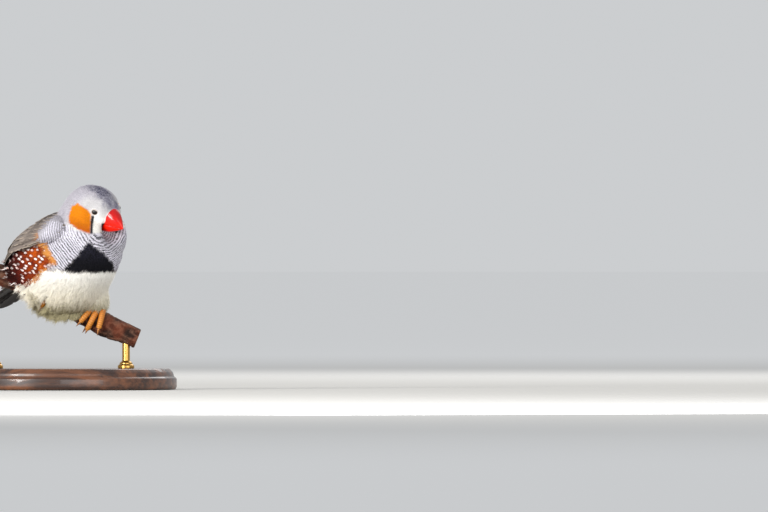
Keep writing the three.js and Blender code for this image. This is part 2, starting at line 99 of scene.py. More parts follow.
# %% Turning arrays into a mesh
def add_mesh(name, points, faces, material, values=None, patches=None):
    """A piece from points in the room's millimetres and arrays of each face's corners.

    values are what the material reads at each point, patches its places on the UV map.
    """
    mesh = bpy.data.meshes.new(name)
    corners = np.concatenate([part.ravel() for part in faces]).astype(np.int32)
    counts = np.concatenate([np.full(len(part), part.shape[1]) for part in faces])
    starts = np.concatenate([[0], np.cumsum(counts)[:-1]]).astype(np.int32)
    mesh.vertices.add(len(points))
    mesh.vertices.foreach_set("co", (points * MM).astype(np.float32).ravel())
    mesh.loops.add(len(corners))
    mesh.loops.foreach_set("vertex_index", corners)
    mesh.polygons.add(len(counts))
    mesh.polygons.foreach_set("loop_start", starts)
    mesh.polygons.foreach_set("use_smooth", np.ones(len(counts), bool))
    for key, data in (values or {}).items():
        if data.ndim == 2:
            layer = mesh.attributes.new(key, "FLOAT_COLOR", "POINT")
            colour = np.concatenate([data, np.ones((len(data), 1))], axis=1)
            layer.data.foreach_set("color", colour.astype(np.float32).ravel())
        else:
            layer = mesh.attributes.new(key, "FLOAT", "POINT")
            layer.data.foreach_set("value", data.astype(np.float32))
    if patches is not None:
        layer = mesh.uv_layers.new(name="OFBake")
        layer.data.foreach_set("uv", patches[corners].astype(np.float32).ravel())
    mesh.update(calc_edges=True)
    mesh.materials.append(material)
    piece = bpy.data.objects.new(name, mesh)
    bpy.context.scene.collection.objects.link(piece)
    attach(piece, "root")
    triangles = int((counts - 2).sum())
    print(f"{name}: {len(points)} points, {triangles} triangles")
    return piece


# %% Small helpers for shapes
def ramp(value, low, high):
    """A soft step from 0 at low to 1 at high."""
    share = np.clip((value - low) / (high - low), 0, 1)
    return share * share * (3 - 2 * share)


def ripple(points, size, seed, waves=9):
    """Smooth noise from about -1 to 1, with lumps about as large as size, from crossing waves."""
    dice = np.random.default_rng(seed)
    ways = unit(dice.normal(size=(waves, 3)))
    ways = ways * (dice.uniform(0.6, 1.5, (waves, 1)) * math.pi / size)
    return np.sin(points @ ways.T + dice.uniform(0, 6.3, waves)).sum(1) / 4


def grid_faces(rows, columns, closed=False):
    """Quads between the points of a grid, stored row by row."""
    wide = columns if closed else columns - 1
    row, column = np.meshgrid(np.arange(rows - 1), np.arange(wide), indexing="ij")
    here = row * columns + column
    beside = row * columns + (column + 1) % columns
    return np.stack([here, beside, beside + columns, here + columns], axis=-1).reshape(-1, 4)


def hexed(code):
    """A colour from its usual six digits, as the linear numbers that Blender mixes with."""
    srgb = np.array([int(code[i : i + 2], 16) for i in (0, 2, 4)]) / 255
    return np.where(srgb <= 0.04045, srgb / 12.92, ((srgb + 0.055) / 1.055) ** 2.4)


print("grey half way:", hexed("808080").round(3))

# %% [markdown]
# ## The body's outline
# The solids of the trunk are the smooth outline round a few eggs. Feathers that lie on the trunk need
# that surface, also between the solids' corners, so the same eggs are measured here again: how far does
# a ray from the middle run before it leaves them?

# %% Eggs of the trunk
TRUNK_EGGS = [
    ((1.4, 0, -0.2), (20, 18.2, 16.7), 34),
    ((-8, 0, 0.5), (17.5, 21, 11.5), 35),
    ((-3.5, 0, -9.8), (15, 13, 11.4), 12),
    ((-19, 0, -3.8), (10, 8.5, 6), 27),
]
EGG_BLEND = 9


def egg_reach(egg, rays):
    centre, half, tilt = egg
    tipped = turn("y", tilt)
    ray = rays @ tipped.T / half
    middle = np.array(centre) @ tipped.T / half
    ray_ray = (ray * ray).sum(1)
    ray_middle = ray @ middle
    root = ray_middle**2 - ray_ray * (middle @ middle - 1)
    far = (ray_middle + np.sqrt(np.maximum(root, 0))) / ray_ray
    return np.where(root > 0, np.maximum(far, 0), 0)


def trunk_reach(rays):
    total = sum(egg_reach(egg, rays) ** EGG_BLEND for egg in TRUNK_EGGS)
    return total ** (1 / EGG_BLEND)


print("breast at", trunk_reach(np.array([[1.0, 0, 0]])).round(1), "mm before the middle")

# %% [markdown]
# ## One skin under the feathers
# The solids of head, neck and trunk are apart by a hair's breadth so that they can be named. A real bird
# has one skin. Copies of them are grown a little, so that they touch, melted into one surface by the
# Remesh modifier, and smoothed. The skin is then sunk by the depth of the coat that will lie on it.

# %% Melting the solids into one
SKIN_VOXEL = 0.6
SKIN_GROWTH = 0.35


def melted_flesh():
    points, faces, count = [], [], 0
    for node in ("head", "neck", "torso"):
        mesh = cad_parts[node].data
        mesh.calc_loop_triangles()
        at = np.empty(len(mesh.vertices) * 3)
        mesh.vertices.foreach_get("co", at)
        triangles = np.empty(len(mesh.loop_triangles) * 3, np.int32)
        mesh.loop_triangles.foreach_get("vertices", triangles)
        merged, same = np.unique(at.reshape(-1, 3).round(7), axis=0, return_inverse=True)
        points.append(merged)
        faces.append(same.ravel()[triangles].reshape(-1, 3) + count)
        count += len(merged)
    mesh = bpy.data.meshes.new("melting")
    mesh.from_pydata(np.concatenate(points), [], np.concatenate(faces).tolist())
    solid = bpy.data.objects.new("melting", mesh)
    bpy.context.scene.collection.objects.link(solid)
    grown = solid.modifiers.new("grown", "DISPLACE")
    grown.strength = SKIN_GROWTH * MM
    grown.mid_level = 0
    melted = solid.modifiers.new("melted", "REMESH")
    melted.mode = "VOXEL"
    melted.voxel_size = SKIN_VOXEL * MM
    shape = solid.evaluated_get(bpy.context.evaluated_depsgraph_get()).to_mesh()
    at = np.empty(len(shape.vertices) * 3)
    shape.vertices.foreach_get("co", at)
    quads = np.empty(len(shape.loops), np.int32)
    shape.loops.foreach_get("vertex_index", quads)
    bpy.data.objects.remove(solid)
    return at.reshape(-1, 3) / MM, quads.reshape(-1, 4)


flesh_room, skin_quads = melted_flesh()
print("melted skin:", len(flesh_room), "points")


# %% Smoothing and normals
def spread_to_points(values, corners, count):
    """Adds a row of values to each of its corner points."""
    return np.stack([np.bincount(corners, values[:, i], count) for i in range(3)], axis=1)


def smoothed(points, quads, rounds, amount=0.5):
    here = np.concatenate([quads[:, i] for i in range(4)])
    there = np.concatenate([quads[:, (i + 1) % 4] for i in range(4)])
    ends = np.concatenate([here, there])
    others = np.concatenate([there, here])
    weight = np.maximum(np.bincount(ends, minlength=len(points)), 1)[:, None]
    for _ in range(rounds):
        middle = spread_to_points(points[others], ends, len(points)) / weight
        points = points + (middle - points) * amount
    return points


def normals_of(points, quads):
    across = points[quads[:, 2]] - points[quads[:, 0]]
    along = points[quads[:, 3]] - points[quads[:, 1]]
    facing = np.cross(across, along)
    spread = sum(spread_to_points(facing, quads[:, i], len(points)) for i in range(4))
    return unit(spread)


FLESH_ROUNDS = 14
flesh = smoothed(room_to_body(flesh_room), skin_quads, FLESH_ROUNDS)
flesh_out = normals_of(flesh, skin_quads)
moved = np.linalg.norm(flesh - room_to_body(flesh_room), axis=1)
print("smoothing moved the points by", moved.mean().round(2), "mm on average")

# %% [markdown]
# ## Where the eyes and the bill are
# The skin, the coat, the eyes and the bill all need to know where the bill leaves the face and where an
# eye lies. Both places are worked out here from the same named sizes as the solids, before the skin is
# made, so that it can be shaped round them.

# %% Where the eyes and the bill are
BILL_ROOT = np.array([7.2, 0, -1.3])
BILL = {"length": 8.8, "width": 8.0, "depth": 10.2, "droop": 12}
BILL_SIDES = {"upper": 0.85, "lower": 0.5}  # the lower, the squarer the sides
BILL_TURN = turn("y", BILL["droop"])
HEAD_EGGS = [
    ((-2.3, 0, 0.6), (10.8, 9.2, 8.2), 0),
    ((0.4, 0, -2.2), (7.8, 8.1, 7.4), -12),
    ((3.2, 0, -0.9), (6.4, 5.4, 6.4), -20),
    ((-6.1, 0, -3.3), (9, 10.3, 7.5), 18),
]
EYE = {
    "towards": (5.91, 6.4, 1.7),  # from the head's middle, mirrored for the right eye
    "look": (0.62, 0.78, 0.06),
    "radius": 1.6,
    "opening": 0.98,
    "proud": 0.25,  # how far the ball stands out of the face
}


def bill_taper(along, above):
    """Half width and half depth of the bill at shares of its length."""
    along = np.clip(along, 0, 1)
    power = np.where(above, 2.1, 1.5)
    wide = BILL["width"] / 2 * (1 - 0.96 * along**1.7)
    deep = BILL["depth"] / 2 * (1 - 0.96 * along**power)
    return wide, deep


def eye_place(side):
    """An eyeball's middle and the way it looks, in the head's frame. side is 1 left, -1 right."""
    ray = unit(np.array(EYE["towards"]) * (1, side, 1))[None]
    total = sum(egg_reach(egg, ray) ** EGG_BLEND for egg in HEAD_EGGS)
    surface = ray[0] * total ** (1 / EGG_BLEND)
    look = unit(np.array(EYE["look"]) * (1, side, 1))
    return surface + look * (EYE["proud"] - EYE["radius"]), look


print("the right eye is at", eye_place(-1)[0].round(1), "in the head's frame")

# %% [markdown]
# ## How deep the coat is
# A finch's feathers are shortest round the bill, about a millimetre, and grow steadily longer away from
# it. On the belly of a bird that sits fluffed up in the cold they stand millimetres deep. One rule, the
# distance from the root of the bill, gives length, depth and spacing everywhere.

# %% The coat's rule
BILL_ROOT_IN_BODY = head_to_body(BILL_ROOT[None])[0]
FEATHER_LENGTHS = [[4, 8, 13, 18, 24, 32, 45, 60], [0.85, 1.1, 1.6, 2.1, 2.9, 4.0, 4.8, 4.8]]


def from_bill(points):
    return np.linalg.norm(points - BILL_ROOT_IN_BODY, axis=1)


def feather_length(points):
    return np.interp(from_bill(points), *FEATHER_LENGTHS)


def coat_depth(points):
    """How far the skin lies under the surface of the coat, least round the bill."""
    away = ramp(from_bill(points), 4.8, 9)
    return 0.16 + 0.19 * away + (0.16 + 0.14 * away) * feather_length(points)


print("the bill leaves the face at", BILL_ROOT_IN_BODY.round(1), "in the body's frame")

# %% [markdown]
# ### Raised feathers, and the edge at the bill
# Smoothing draws round forms in a little, and this bird sits with its feathers raised. So the skin is
# lifted again over the head, on one side of the breast, where the neck meets the shoulders and over the
# left leg, and stays low round the eyes. At the bill the feathers start along a line that lies further
# back at the lower jaw than on the ridge, so the skin is slid along the bill until it meets the horn on
# that line. Last, the belly is laid back where the end of one toe comes out of the fluff.

# %% Raising the skin
HEAD_RISE = 0.8
SWELLS = [  # the middle of each soft rise, its height and its reach
    ((16.5, 11, 6.5), 2.7, 6.5),
    ((2.5, -7.5, 12.5), 3.3, 5.5),
    ((2.5, 7.5, 12.5), 3.3, 5.5),
    ((5.5, 9.8, -15.0), 4.5, 4.5),
]


def raised(points):
    """How far the feathers are lifted at each point."""
    on_head = ramp(points[:, 2] + 0.3 * points[:, 0], 13, 20) * ramp(from_bill(points), 5, 8.5)
    for side in (1, -1):
        gap = np.linalg.norm(body_to_head(points) - eye_place(side)[0], axis=1)
        on_head = on_head * ramp(gap, 1.9, 4.2)
    lift = HEAD_RISE * on_head
    for middle, rise, reach in SWELLS:
        gap = np.linalg.norm(points - middle, axis=1) / reach
        lift = lift + rise * np.exp(-(gap**2))
    return lift


offset = raised(flesh) - SKIN_GROWTH - coat_depth(flesh)
skin = smoothed(flesh + flesh_out * offset[:, None], skin_quads, 4)
print("the skin moves out by", offset.min().round(1), "to", offset.max().round(1), "mm")

# %% Fitting the skin to the bill
BILL_EDGE = [[0, 25, 46, 64, 84, 94, 110, 146, 180], [1.0, 1.4, 1.5, 1.4, 1.7, 1.5, 0.8, 0.1, 0.7]]
EDGE_STEP = 12  # degrees between the places where the skin's edge is measured


def round_bill(points):
    """Places along the bill, how far out from its middle, and degrees round it from its ridge."""
    local = (body_to_head(points) - BILL_ROOT) @ BILL_TURN
    across, up = local[:, 1] / (BILL["width"] / 2), local[:, 2] / (BILL["depth"] / 2)
    return local, np.hypot(across, up), np.degrees(np.arctan2(np.abs(across), up))


def fitted_to_bill(points):
    """Slides the skin along the bill to the line where the feathers of the real one start."""
    local, far, degrees = round_bill(points)
    at_edge = np.exp(-(((far - 1.05) / 0.15) ** 2)) * (local[:, 0] > -5)
    turns = np.arange(0, 181, EDGE_STEP)
    shares = at_edge[:, None] * np.exp(-(((degrees[:, None] - turns) / EDGE_STEP) ** 2))
    now = (local[:, :1] * shares).sum(0) / shares.sum(0)
    slide = np.interp(degrees, *BILL_EDGE) - np.interp(degrees, turns, now)
    local[:, 0] += slide * ramp(-far, -1.65, -1.15) * ramp(local[:, 0], -7, -4)
    return head_to_body(local @ BILL_TURN.T + BILL_ROOT)


before = skin
skin = fitted_to_bill(skin)
print("the skin slid by up to", np.linalg.norm(skin - before, axis=1).max().round(1), "mm")

# %% Parting the belly for a toe
TOE_GAP = [(-4.6, 34.0), (-7.4, 28.6)]  # its middle line, as seen from the front
TOE_GAP_FLOOR, TOE_GAP_EDGE = 1.5, 3.2  # from the middle line to the flat floor's rim and the outer rim
TOE_GAP_BACK, TOE_GAP_RISE = -10.2, 9  # where the floor lies, and how far forward the outer rim is
BELLY_FRONT = -7


def parted_for_toe(points):
    """Lays the belly back where the end of one toe comes out of it."""
    room = body_to_room(points)
    start, end = np.array(TOE_GAP)
    flat = room[:, [0, 2]] - start
    along = np.clip(flat @ (end - start) / ((end - start) @ (end - start)), 0, 1)
    gap = np.linalg.norm(flat - along[:, None] * (end - start), axis=1)
    back = TOE_GAP_BACK - TOE_GAP_RISE * ramp(gap, TOE_GAP_FLOOR, TOE_GAP_EDGE)
    belly = (room[:, 1] < BELLY_FRONT) & (gap < TOE_GAP_EDGE)
    room[:, 1] = np.where(belly, np.maximum(room[:, 1], back), room[:, 1])
    return room_to_body(room)


skin = smoothed(parted_for_toe(skin), skin_quads, 1)
skin_out = normals_of(skin, skin_quads)
print("coat depth from", coat_depth(skin).min().round(2), "to", coat_depth(skin).max().round(2), "mm")

# %% [markdown]
# ## The markings
# A male zebra finch has an orange cheek behind a black tear stripe, a white face, a throat with fine
# dark bars, a black breast band, a white belly and chestnut flanks with white spots. Each marking is a
# place on the bird, so it is written as a soft-edged mask of a point's position. The skin, the feathers
# and every view then agree, and nothing is painted from one side.

# %% Where the cheek, the tear stripe and the bands are
# CHEEK holds corners as degrees round the head and height. In the other lines, the first list is where
# the second is read: CHEEK_FLOOR at degrees, TEAR and FLANK_FRONT at heights, the band's edges at
# distances from its middle, and FLANK_FLOOR at places along the body.
CHEEK = [(113, 1.9), (101, 3.4), (87, 3.1), (67, 2.1), (56, 0.4), (51, -2.2), (50, -6.0)]
CHEEK += [(63, -5.5), (79, -4.9), (97, -3.8), (106, -1.6), (111, 0.2)]
CHEEK_FLOOR = [[0, 30, 50, 63, 79, 97, 115, 135], [5.2, 5.2, 5.7, 5.6, 5.1, 4.2, 4.2, 5.0]]
TEAR = [[-6, -4.4, -3, -2, -1, 0.2], [48.0, 48.5, 49.2, 49.6, 50.0, 50.6]]
LORE_MARK = np.array([8.3, -2.3, 3.4])
BAND_TOP = [[0, 1.6, 3.1, 4.6, 5.8, 7.0], [7.2, 5.2, 3.2, 1.3, -0.8, -3.2]]
BAND_BOTTOM = [[0, 5, 8, 10, 14], [-3.7, -3.7, -3.3, -2.8, -2.2]]
BAND_MIDDLE = -5.3
BAND_SPREAD = 0.5  # the far side of the band falls this much more slowly
FLANK_FRONT = [[-9, -6, -3.4, -1.5, 0.4, 3.2, 5.9, 8.7, 11], [-9, 1, 5.5, 10.4, 10.2, 8.7, 6.9, 3.9, 1]]
FLANK_FLOOR = [[-20, -12, -8.7, -3.8, 0.9, 4.5, 7.3, 10.6], [-8.5, -8.4, -8.1, -7, -5.6, -3.4, -2, -1.2]]


def round_face(head_points):
    """Degrees round the head from the bill, the same on both sides, and height."""
    degrees = np.degrees(np.arctan2(np.abs(head_points[:, 1]), head_points[:, 0]))
    return degrees, head_points[:, 2]


def inside_outline(across, up, outline, soft):
    """About 1 inside a closed outline and 0 outside, with an edge as wide as soft."""
    inside = np.zeros(len(across), bool)
    nearest = np.full(len(across), 1e9)
    for (x0, y0), (x1, y1) in zip(outline, outline[1:] + outline[:1]):
        crosses = (y0 > up) != (y1 > up)
        meets = (x1 - x0) * (up - y0) / ((y1 - y0) or 1e-9) + x0
        inside ^= crosses & (across < meets)
        length = (x1 - x0) ** 2 + (y1 - y0) ** 2
        share = np.clip(((across - x0) * (x1 - x0) + (up - y0) * (y1 - y0)) / length, 0, 1)
        gap = np.hypot(across - x0 - share * (x1 - x0), up - y0 - share * (y1 - y0))
        nearest = np.minimum(nearest, gap)
    return ramp(np.where(inside, nearest, -nearest), -soft, soft)


print("the cheek's outline has", len(CHEEK), "corners")

# %% Markings of the face
DEGREE = 0.18  # millimetres round the face for each degree
TEAR_HALF = 0.42


def face_marks(points, rough):
    """Shares, from 0 to 1, of the markings round the bill and the eyes and of the dark crown."""
    head = body_to_head(points)
    degrees, height = round_face(head)
    around = degrees * DEGREE
    outline = [(d * DEGREE, z) for d, z in CHEEK]
    cheek = inside_outline(around + rough * 0.6, height + rough * 0.5, outline, 0.35)
    cheek = cheek * (head[:, 0] > -7)
    stripe = np.interp(height, *TEAR) * DEGREE
    tear = ramp(TEAR_HALF + 0.2 * ramp(height, -3, 0) - np.abs(around - stripe), -0.12, 0.14)
    tear = tear * ramp(height, -6.2, -5.6) * ramp(-height, -0.5, 0.1)
    local, _, from_ridge = round_bill(points)
    boxy = np.abs(local[:, 1] / (BILL["width"] / 2)) ** 4 + (local[:, 2] / (BILL["depth"] / 2)) ** 2
    bill_line = ramp(-boxy, -2.6, -1.9) * ramp(from_ridge, 92, 98) * ramp(-from_ridge, -150, -140)
    bill_line = bill_line * (local[:, 0] > -3) * (local[:, 0] < 2.5)
    lore = np.linalg.norm((head - LORE_MARK) * (0.5, 1, 1.2), axis=1)
    white = ramp(height, -6.2, -5.0) * ramp(degrees, 112, 75) * ramp(height, 8.0, 5.0)
    crown = ramp(height + 0.3 * head[:, 0], 4.2, 6.5) * (0.35 + 0.65 * ramp(head[:, 0], -7, 3))
    return {
        "cheek": cheek * (1 - tear),
        "tear": tear,
        "bill_line": bill_line,
        "lore_mark": ramp(-lore + rough * 0.3, -0.75, -0.35),
        "white": white * (1 - cheek),
        "dark_crown": crown * ramp(-np.abs(head[:, 1]) + rough * 1.5, -5.0, -1.5),
    }


print("the bill's edge is black on", int((face_marks(skin, 0)["bill_line"] > 0.5).sum()), "points")


# %% Markings of the trunk
def trunk_marks(points, rough):
    """Shares, from 0 to 1, of the throat, the breast band, the flanks and the belly."""
    side, z = np.abs(points[:, 1]), points[:, 2]
    aside = points[:, 1] - BAND_MIDDLE
    aside = np.where(aside > 0, aside * BAND_SPREAD, -aside)
    top = np.interp(aside, *BAND_TOP) + rough * 1.3
    bottom = np.interp(aside, *BAND_BOTTOM) + rough * 0.9
    front = ramp(points[:, 0], 5, 9.5)
    band = ramp(z, bottom - 0.5, bottom + 0.5) * ramp(top - z, -0.6, 0.5) * front
    flank_edge = np.interp(z, *FLANK_FRONT) + rough * 1.4
    flank_floor = np.interp(points[:, 0], *FLANK_FLOOR) + rough * 1.5
    flank = ramp(flank_edge - points[:, 0], -0.6, 0.8) * ramp(z - flank_floor, -0.7, 0.7)
    flank = flank * ramp(side, 9, 12) * ramp(z - 0.75 * side, 3.5, -1.5)
    throat = ramp(z, bottom, bottom + 0.6) * (1 - band) * (1 - flank) * ramp(points[:, 0], 2.5, 6)
    degrees, height = round_face(body_to_head(points))
    below_cheek = -height - np.interp(degrees, *CHEEK_FLOOR) + rough * 0.6
    return {
        "band": band,
        "flank": flank,
        "buff": flank * ramp(flank_edge - points[:, 0], 3.6, 1.8),
        "throat": throat * ramp(below_cheek, -0.2, 0.7),
        "belly": ramp(bottom - z, -0.5, 0.5) * (1 - flank) * ramp(points[:, 0], -30, -12),
    }


def masks(points):
    """Every marking's share at points of the body's frame, with edges that the same noise frays."""
    rough = ripple(points, 1.6, 3) * 0.35 + ripple(points, 4.5, 4) * 0.3
    return {**face_marks(points, rough), **trunk_marks(points, rough)}


print("the flanks cover", int((masks(skin)["flank"] > 0.5).sum()), "points of the skin")

# %% Colours of the plumage
PLUMAGE = {
    "back": hexed("8c8178"),
    "nape": hexed("bab6be"),
    "crown": hexed("727083"),
    "pale": hexed("cccacb"),
    "throat": hexed("dfdce6"),
    "cheek": hexed("d97f02"),
    "cheek_low": hexed("b95a02"),
    "black": hexed("06070c"),
    "white": hexed("faf7f0"),
    "cream": hexed("efe7cf"),
    "shade": hexed("8d8358"),
    "chestnut": hexed("741b04"),
    "rust": hexed("cf5a08"),
    # painted shade for the flank's rear, under the wing
    "flank_rear_shade": hexed("220c08"),
    "buff": hexed("d8974a"),
}


def blend(base, colour, share):
    return base + (colour - base) * share[:, None]


def nape_share(points):
    return ramp(points[:, 2] + 0.45 * points[:, 0], 6, 12)


def plumage_colour(points):
    """The colour at each point, painted in layers from the back's to the black, and all the masks."""
    found = masks(points)
    head = body_to_head(points)
    coarse, fine = ripple(points, 3.0, 11), ripple(points, 1.0, 12)
    paint = np.tile(PLUMAGE["back"], (len(points), 1))
    paint = blend(paint, PLUMAGE["nape"], nape_share(points))
    paint = blend(paint, PLUMAGE["pale"], found["white"] * 0.95)
    paint = blend(paint, PLUMAGE["white"], found["white"] * ramp(-head[:, 2], -2.5, 1.5) * 0.8)
    mottle = np.clip(0.7 + 0.25 * fine + 0.15 * coarse, 0, 1)
    paint = blend(paint, PLUMAGE["crown"], found["dark_crown"] * mottle)
    paint = blend(paint, PLUMAGE["throat"], found["throat"])
    low = np.clip((-6.0 - points[:, 2]) / 9, 0, 1)
    paint = blend(paint, PLUMAGE["white"], found["belly"])
    paint = blend(paint, PLUMAGE["cream"], found["belly"] * low * 0.8)
    # painted shade: the underside of the belly darkens towards olive
    under = ramp(-points[:, 2] + 0.3 * coarse, 14, 19)
    paint = blend(paint, PLUMAGE["shade"], found["belly"] * under * 0.85)
    warm = np.clip(0.5 + 0.45 * coarse, 0, 1) * ramp(points[:, 0], -8, 3)
    rust = blend(PLUMAGE["chestnut"], PLUMAGE["rust"], warm)
    # painted shade: the flank darkens to near black towards the rear and up under the wing
    rust = blend(rust, PLUMAGE["flank_rear_shade"], ramp(-points[:, 0] + 0.4 * (points[:, 2] + 4), 3, 13))
    paint = blend(paint, rust, found["flank"])
    paint = blend(paint, PLUMAGE["buff"], found["buff"] * 0.85)
    cheek = blend(PLUMAGE["cheek"], PLUMAGE["cheek_low"], ramp(-head[:, 2], 0.5, 5.5))
    paint = blend(paint, cheek, found["cheek"])
    paint = blend(paint, PLUMAGE["crown"] * 0.35, found["lore_mark"] * 0.8)
    for mark in ("tear", "bill_line", "band"):
        paint = blend(paint, PLUMAGE["black"], found[mark])
    return paint, found


print("colours of the plumage:", ", ".join(PLUMAGE))

# %% [markdown]
# ### Bars and spots
# The throat's bars are finer than its feathers, and so are the white spots of the flank. They are left
# to the material: each point carries how far it is from a place in the throat, under the root of the
# bill, and the material turns that distance into bars. They lie in arcs below the face, as on the real
# bird. The spots are read off two more numbers, along the flank and up it.

# %% What each point carries for the material
BAR_CENTRE = np.array([19.5, 0, 13.8])


def carried_values(points, tint=1.0):
    paint, found = plumage_colour(points)
    sway = ripple(points, 5, 21) * 0.35 + ripple(points, 1.6, 22) * 0.14
    away = np.linalg.norm(points - BAR_CENTRE, axis=1) + sway
    strong = 0.55 + 0.45 * ramp(-points[:, 2] + 0.4 * points[:, 0], -10, 0)
    crown_mottle = found["dark_crown"] * 0.9 + 0.22 * nape_share(points) * (1 - found["cheek"])
    return {
        "plumage": np.clip(paint * tint, 0, 1),
        "bar_place": away,
        "barred": found["throat"] * strong,
        "mottled": crown_mottle * (1 - found["throat"]) * (1 - 0.7 * found["white"]),
        "spot_along": points[:, 0] + 0.35 * points[:, 2],
        "spot_up": points[:, 2] + ripple(points, 6, 23) * 0.4,
        "spotted": found["flank"] * (1 - found["buff"]),
    }


skin_values = carried_values(skin)
print("points with bars:", int((skin_values["barred"] > 0.5).sum()))

# %% [markdown]
# ## The plumage's finish
# Feathers are matt, with a faint sheen at the edges of the form. A Principled shader with a high
# roughness and a little sheen gives that. Its colour comes from what each point carries, broken up by
# fine noise so that no feather is flat. Bars come from a sine of the carried distance, and the spots
# from the cells of a Voronoi texture in the flank's own lengths.


# %% Node helpers
def new_finish(name, rough, sheen=0.0, coat=0.0, metal=0.0, specular=0.5):
    material = bpy.data.materials.new(name)
    material.use_nodes = True
    shader = material.node_tree.nodes["Principled BSDF"]
    shader.inputs["Roughness"].default_value = rough
    shader.inputs["Metallic"].default_value = metal
    shader.inputs["Sheen Weight"].default_value = sheen
    shader.inputs["Coat Weight"].default_value = coat
    shader.inputs["Coat Roughness"].default_value = 0.06
    shader.inputs["Specular IOR Level"].default_value = specular
    return material, material.node_tree, shader


def add_node(tree, kind, settings=None, **inputs):
    node = tree.nodes.new(kind)
    for key, value in (settings or {}).items():
        setattr(node, key, value)
    for key, value in inputs.items():
        socket = node.inputs[int(key[1:])] if key[0] == "i" and key[1:].isdigit() else node.inputs[key]
        if isinstance(value, bpy.types.NodeSocket):
            tree.links.new(value, socket)
        else:
            socket.default_value = value
    return node


def carried(tree, key, socket="Fac"):
    return add_node(tree, "ShaderNodeAttribute", {"attribute_name": key}).outputs[socket]


def maths(tree, operation, first, second=0.0):
    settings = {"operation": operation}
    return add_node(tree, "ShaderNodeMath", settings, i0=first, i1=second).outputs[0]


def times(tree, first, second):
    return maths(tree, "MULTIPLY", first, second)


def stepped(tree, value, low, high):
    """A soft step from 0 at low to 1 at high."""
    settings = {"interpolation_type": "SMOOTHSTEP"}
    node = add_node(tree, "ShaderNodeMapRange", settings, i0=value, i1=low, i2=high)
    return node.outputs[0]


def mixed(tree, share, first, second):
    settings = {"data_type": "RGBA"}
    node = add_node(tree, "ShaderNodeMix", settings, i0=share, i6=first, i7=second)
    return node.outputs[2]


def rgba(code):
    return (*hexed(code), 1.0)


# %% Noise and bump
def noise(tree, lump, detail=3.0, rough=0.6, place=None):
    """Noise whose lumps are about as many millimetres as lump."""
    place = place or add_node(tree, "ShaderNodeTexCoord").outputs["Object"]
    inputs = {"Vector": place, "Scale": 1 / (lump * MM), "Detail": detail, "Roughness": rough}
    return add_node(tree, "ShaderNodeTexNoise", None, **inputs).outputs["Fac"]


def bump(tree, shader, height, depth, strength=1.0):
    """Raises the finish by up to depth millimetres where height is 1."""
    inputs = {"Strength": strength, "Distance": depth * MM, "Height": height}
    node = add_node(tree, "ShaderNodeBump", None, **inputs)
    tree.links.new(node.outputs[0], shader.inputs["Normal"])


# %% Bars and spots as nodes
BAR_PERIOD = 0.92
SPOT_PITCH = 1.8
SPOT_STRETCH = 1.4  # the spots lie further apart along the flank than up it


def throat_bars(tree):
    """Dark bars at even steps of the carried distance, fainter here and there."""
    turns = times(tree, carried(tree, "bar_place"), 2 * math.pi / BAR_PERIOD)
    bars = stepped(tree, maths(tree, "SINE", turns), 0.1, 0.6)
    broken = times(tree, stepped(tree, noise(tree, 0.9), 0.3, 0.6), 0.5)
    bars = times(tree, bars, maths(tree, "ADD", broken, 0.5))
    return times(tree, bars, carried(tree, "barred"))


def flank_spots(tree):
    """White spots in the middles of uneven cells, and the dark rims round them."""
    along = maths(tree, "DIVIDE", carried(tree, "spot_along"), SPOT_PITCH * SPOT_STRETCH)
    up = maths(tree, "DIVIDE", carried(tree, "spot_up"), SPOT_PITCH)
    place = add_node(tree, "ShaderNodeCombineXYZ", None, X=along, Y=up).outputs[0]
    settings = {"voronoi_dimensions": "2D", "feature": "F1"}
    inputs = {"Vector": place, "Scale": 1.0, "Randomness": 0.9}
    gap = add_node(tree, "ShaderNodeTexVoronoi", settings, **inputs).outputs["Distance"]
    spotted = carried(tree, "spotted")
    bright = stepped(tree, noise(tree, 2.6), 0.3, 0.52)
    spots = times(tree, times(tree, stepped(tree, gap, 0.27, 0.2), spotted), bright)
    rims = times(tree, stepped(tree, gap, 0.5, 0.3), times(tree, spotted, 0.4))
    return spots, rims


# %% The plumage
def plumage_finish():
    material, tree, shader = new_finish("plumage", 0.9, sheen=0.02, specular=0.1)
    base = carried(tree, "plumage", "Color")
    grain = stepped(tree, noise(tree, 0.35, 2.0), 0.3, 0.7)
    base = mixed(tree, times(tree, grain, 0.1), base, rgba("58545c"))
    flecks = stepped(tree, noise(tree, 0.5, 2.0), 0.42, 0.58)
    base = mixed(tree, times(tree, flecks, carried(tree, "mottled")), base, rgba("3c3b50"))
    streaks = stepped(tree, noise(tree, 0.8, 3.0), 0.42, 0.62)
    streaks = times(tree, streaks, carried(tree, "spotted"))
    base = mixed(tree, times(tree, streaks, 0.55), base, rgba("4a1206"))
    spots, rims = flank_spots(tree)
    base = mixed(tree, rims, base, rgba("2b0f06"))
    blush = stepped(tree, noise(tree, 1.7), 0.4, 0.65)
    base = mixed(tree, spots, base, mixed(tree, blush, rgba("fff6f2"), rgba("e0b0a6")))
    base = mixed(tree, throat_bars(tree), base, rgba("1a1926"))
    tree.links.new(base, shader.inputs["Base Color"])
    bump(tree, shader, noise(tree, 0.25, 2.0), 0.05, 0.5)
    return material


plumage = plumage_finish()
skin_room = body_to_room(skin)
skin_piece = add_mesh("skin", skin_room, [skin_quads], plumage, skin_values)
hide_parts("head", "neck", "torso")

# %% [markdown]
# ## Small feathers
# A finch's small feather is a soft leaf whose end frays into barbs. Hair systems would not survive the
# export, so each is a real little mesh: a vane of a few columns, each ending in its own point. The vanes
# are rooted in the skin, lie along the coat and overlap, so that only the frayed ends show.

# %% Where the roots are
DENSE = 0.18  # the space between roots, as a share of a feather's length
CLOSER = [(1.3, 2.6), (1, 0.6)]  # lengths, and the share of that space that is used at each
TRIES = 3.2  # places tried for each root that is wanted
LEAN = np.array([-0.3, 0, -0.18])  # back and down


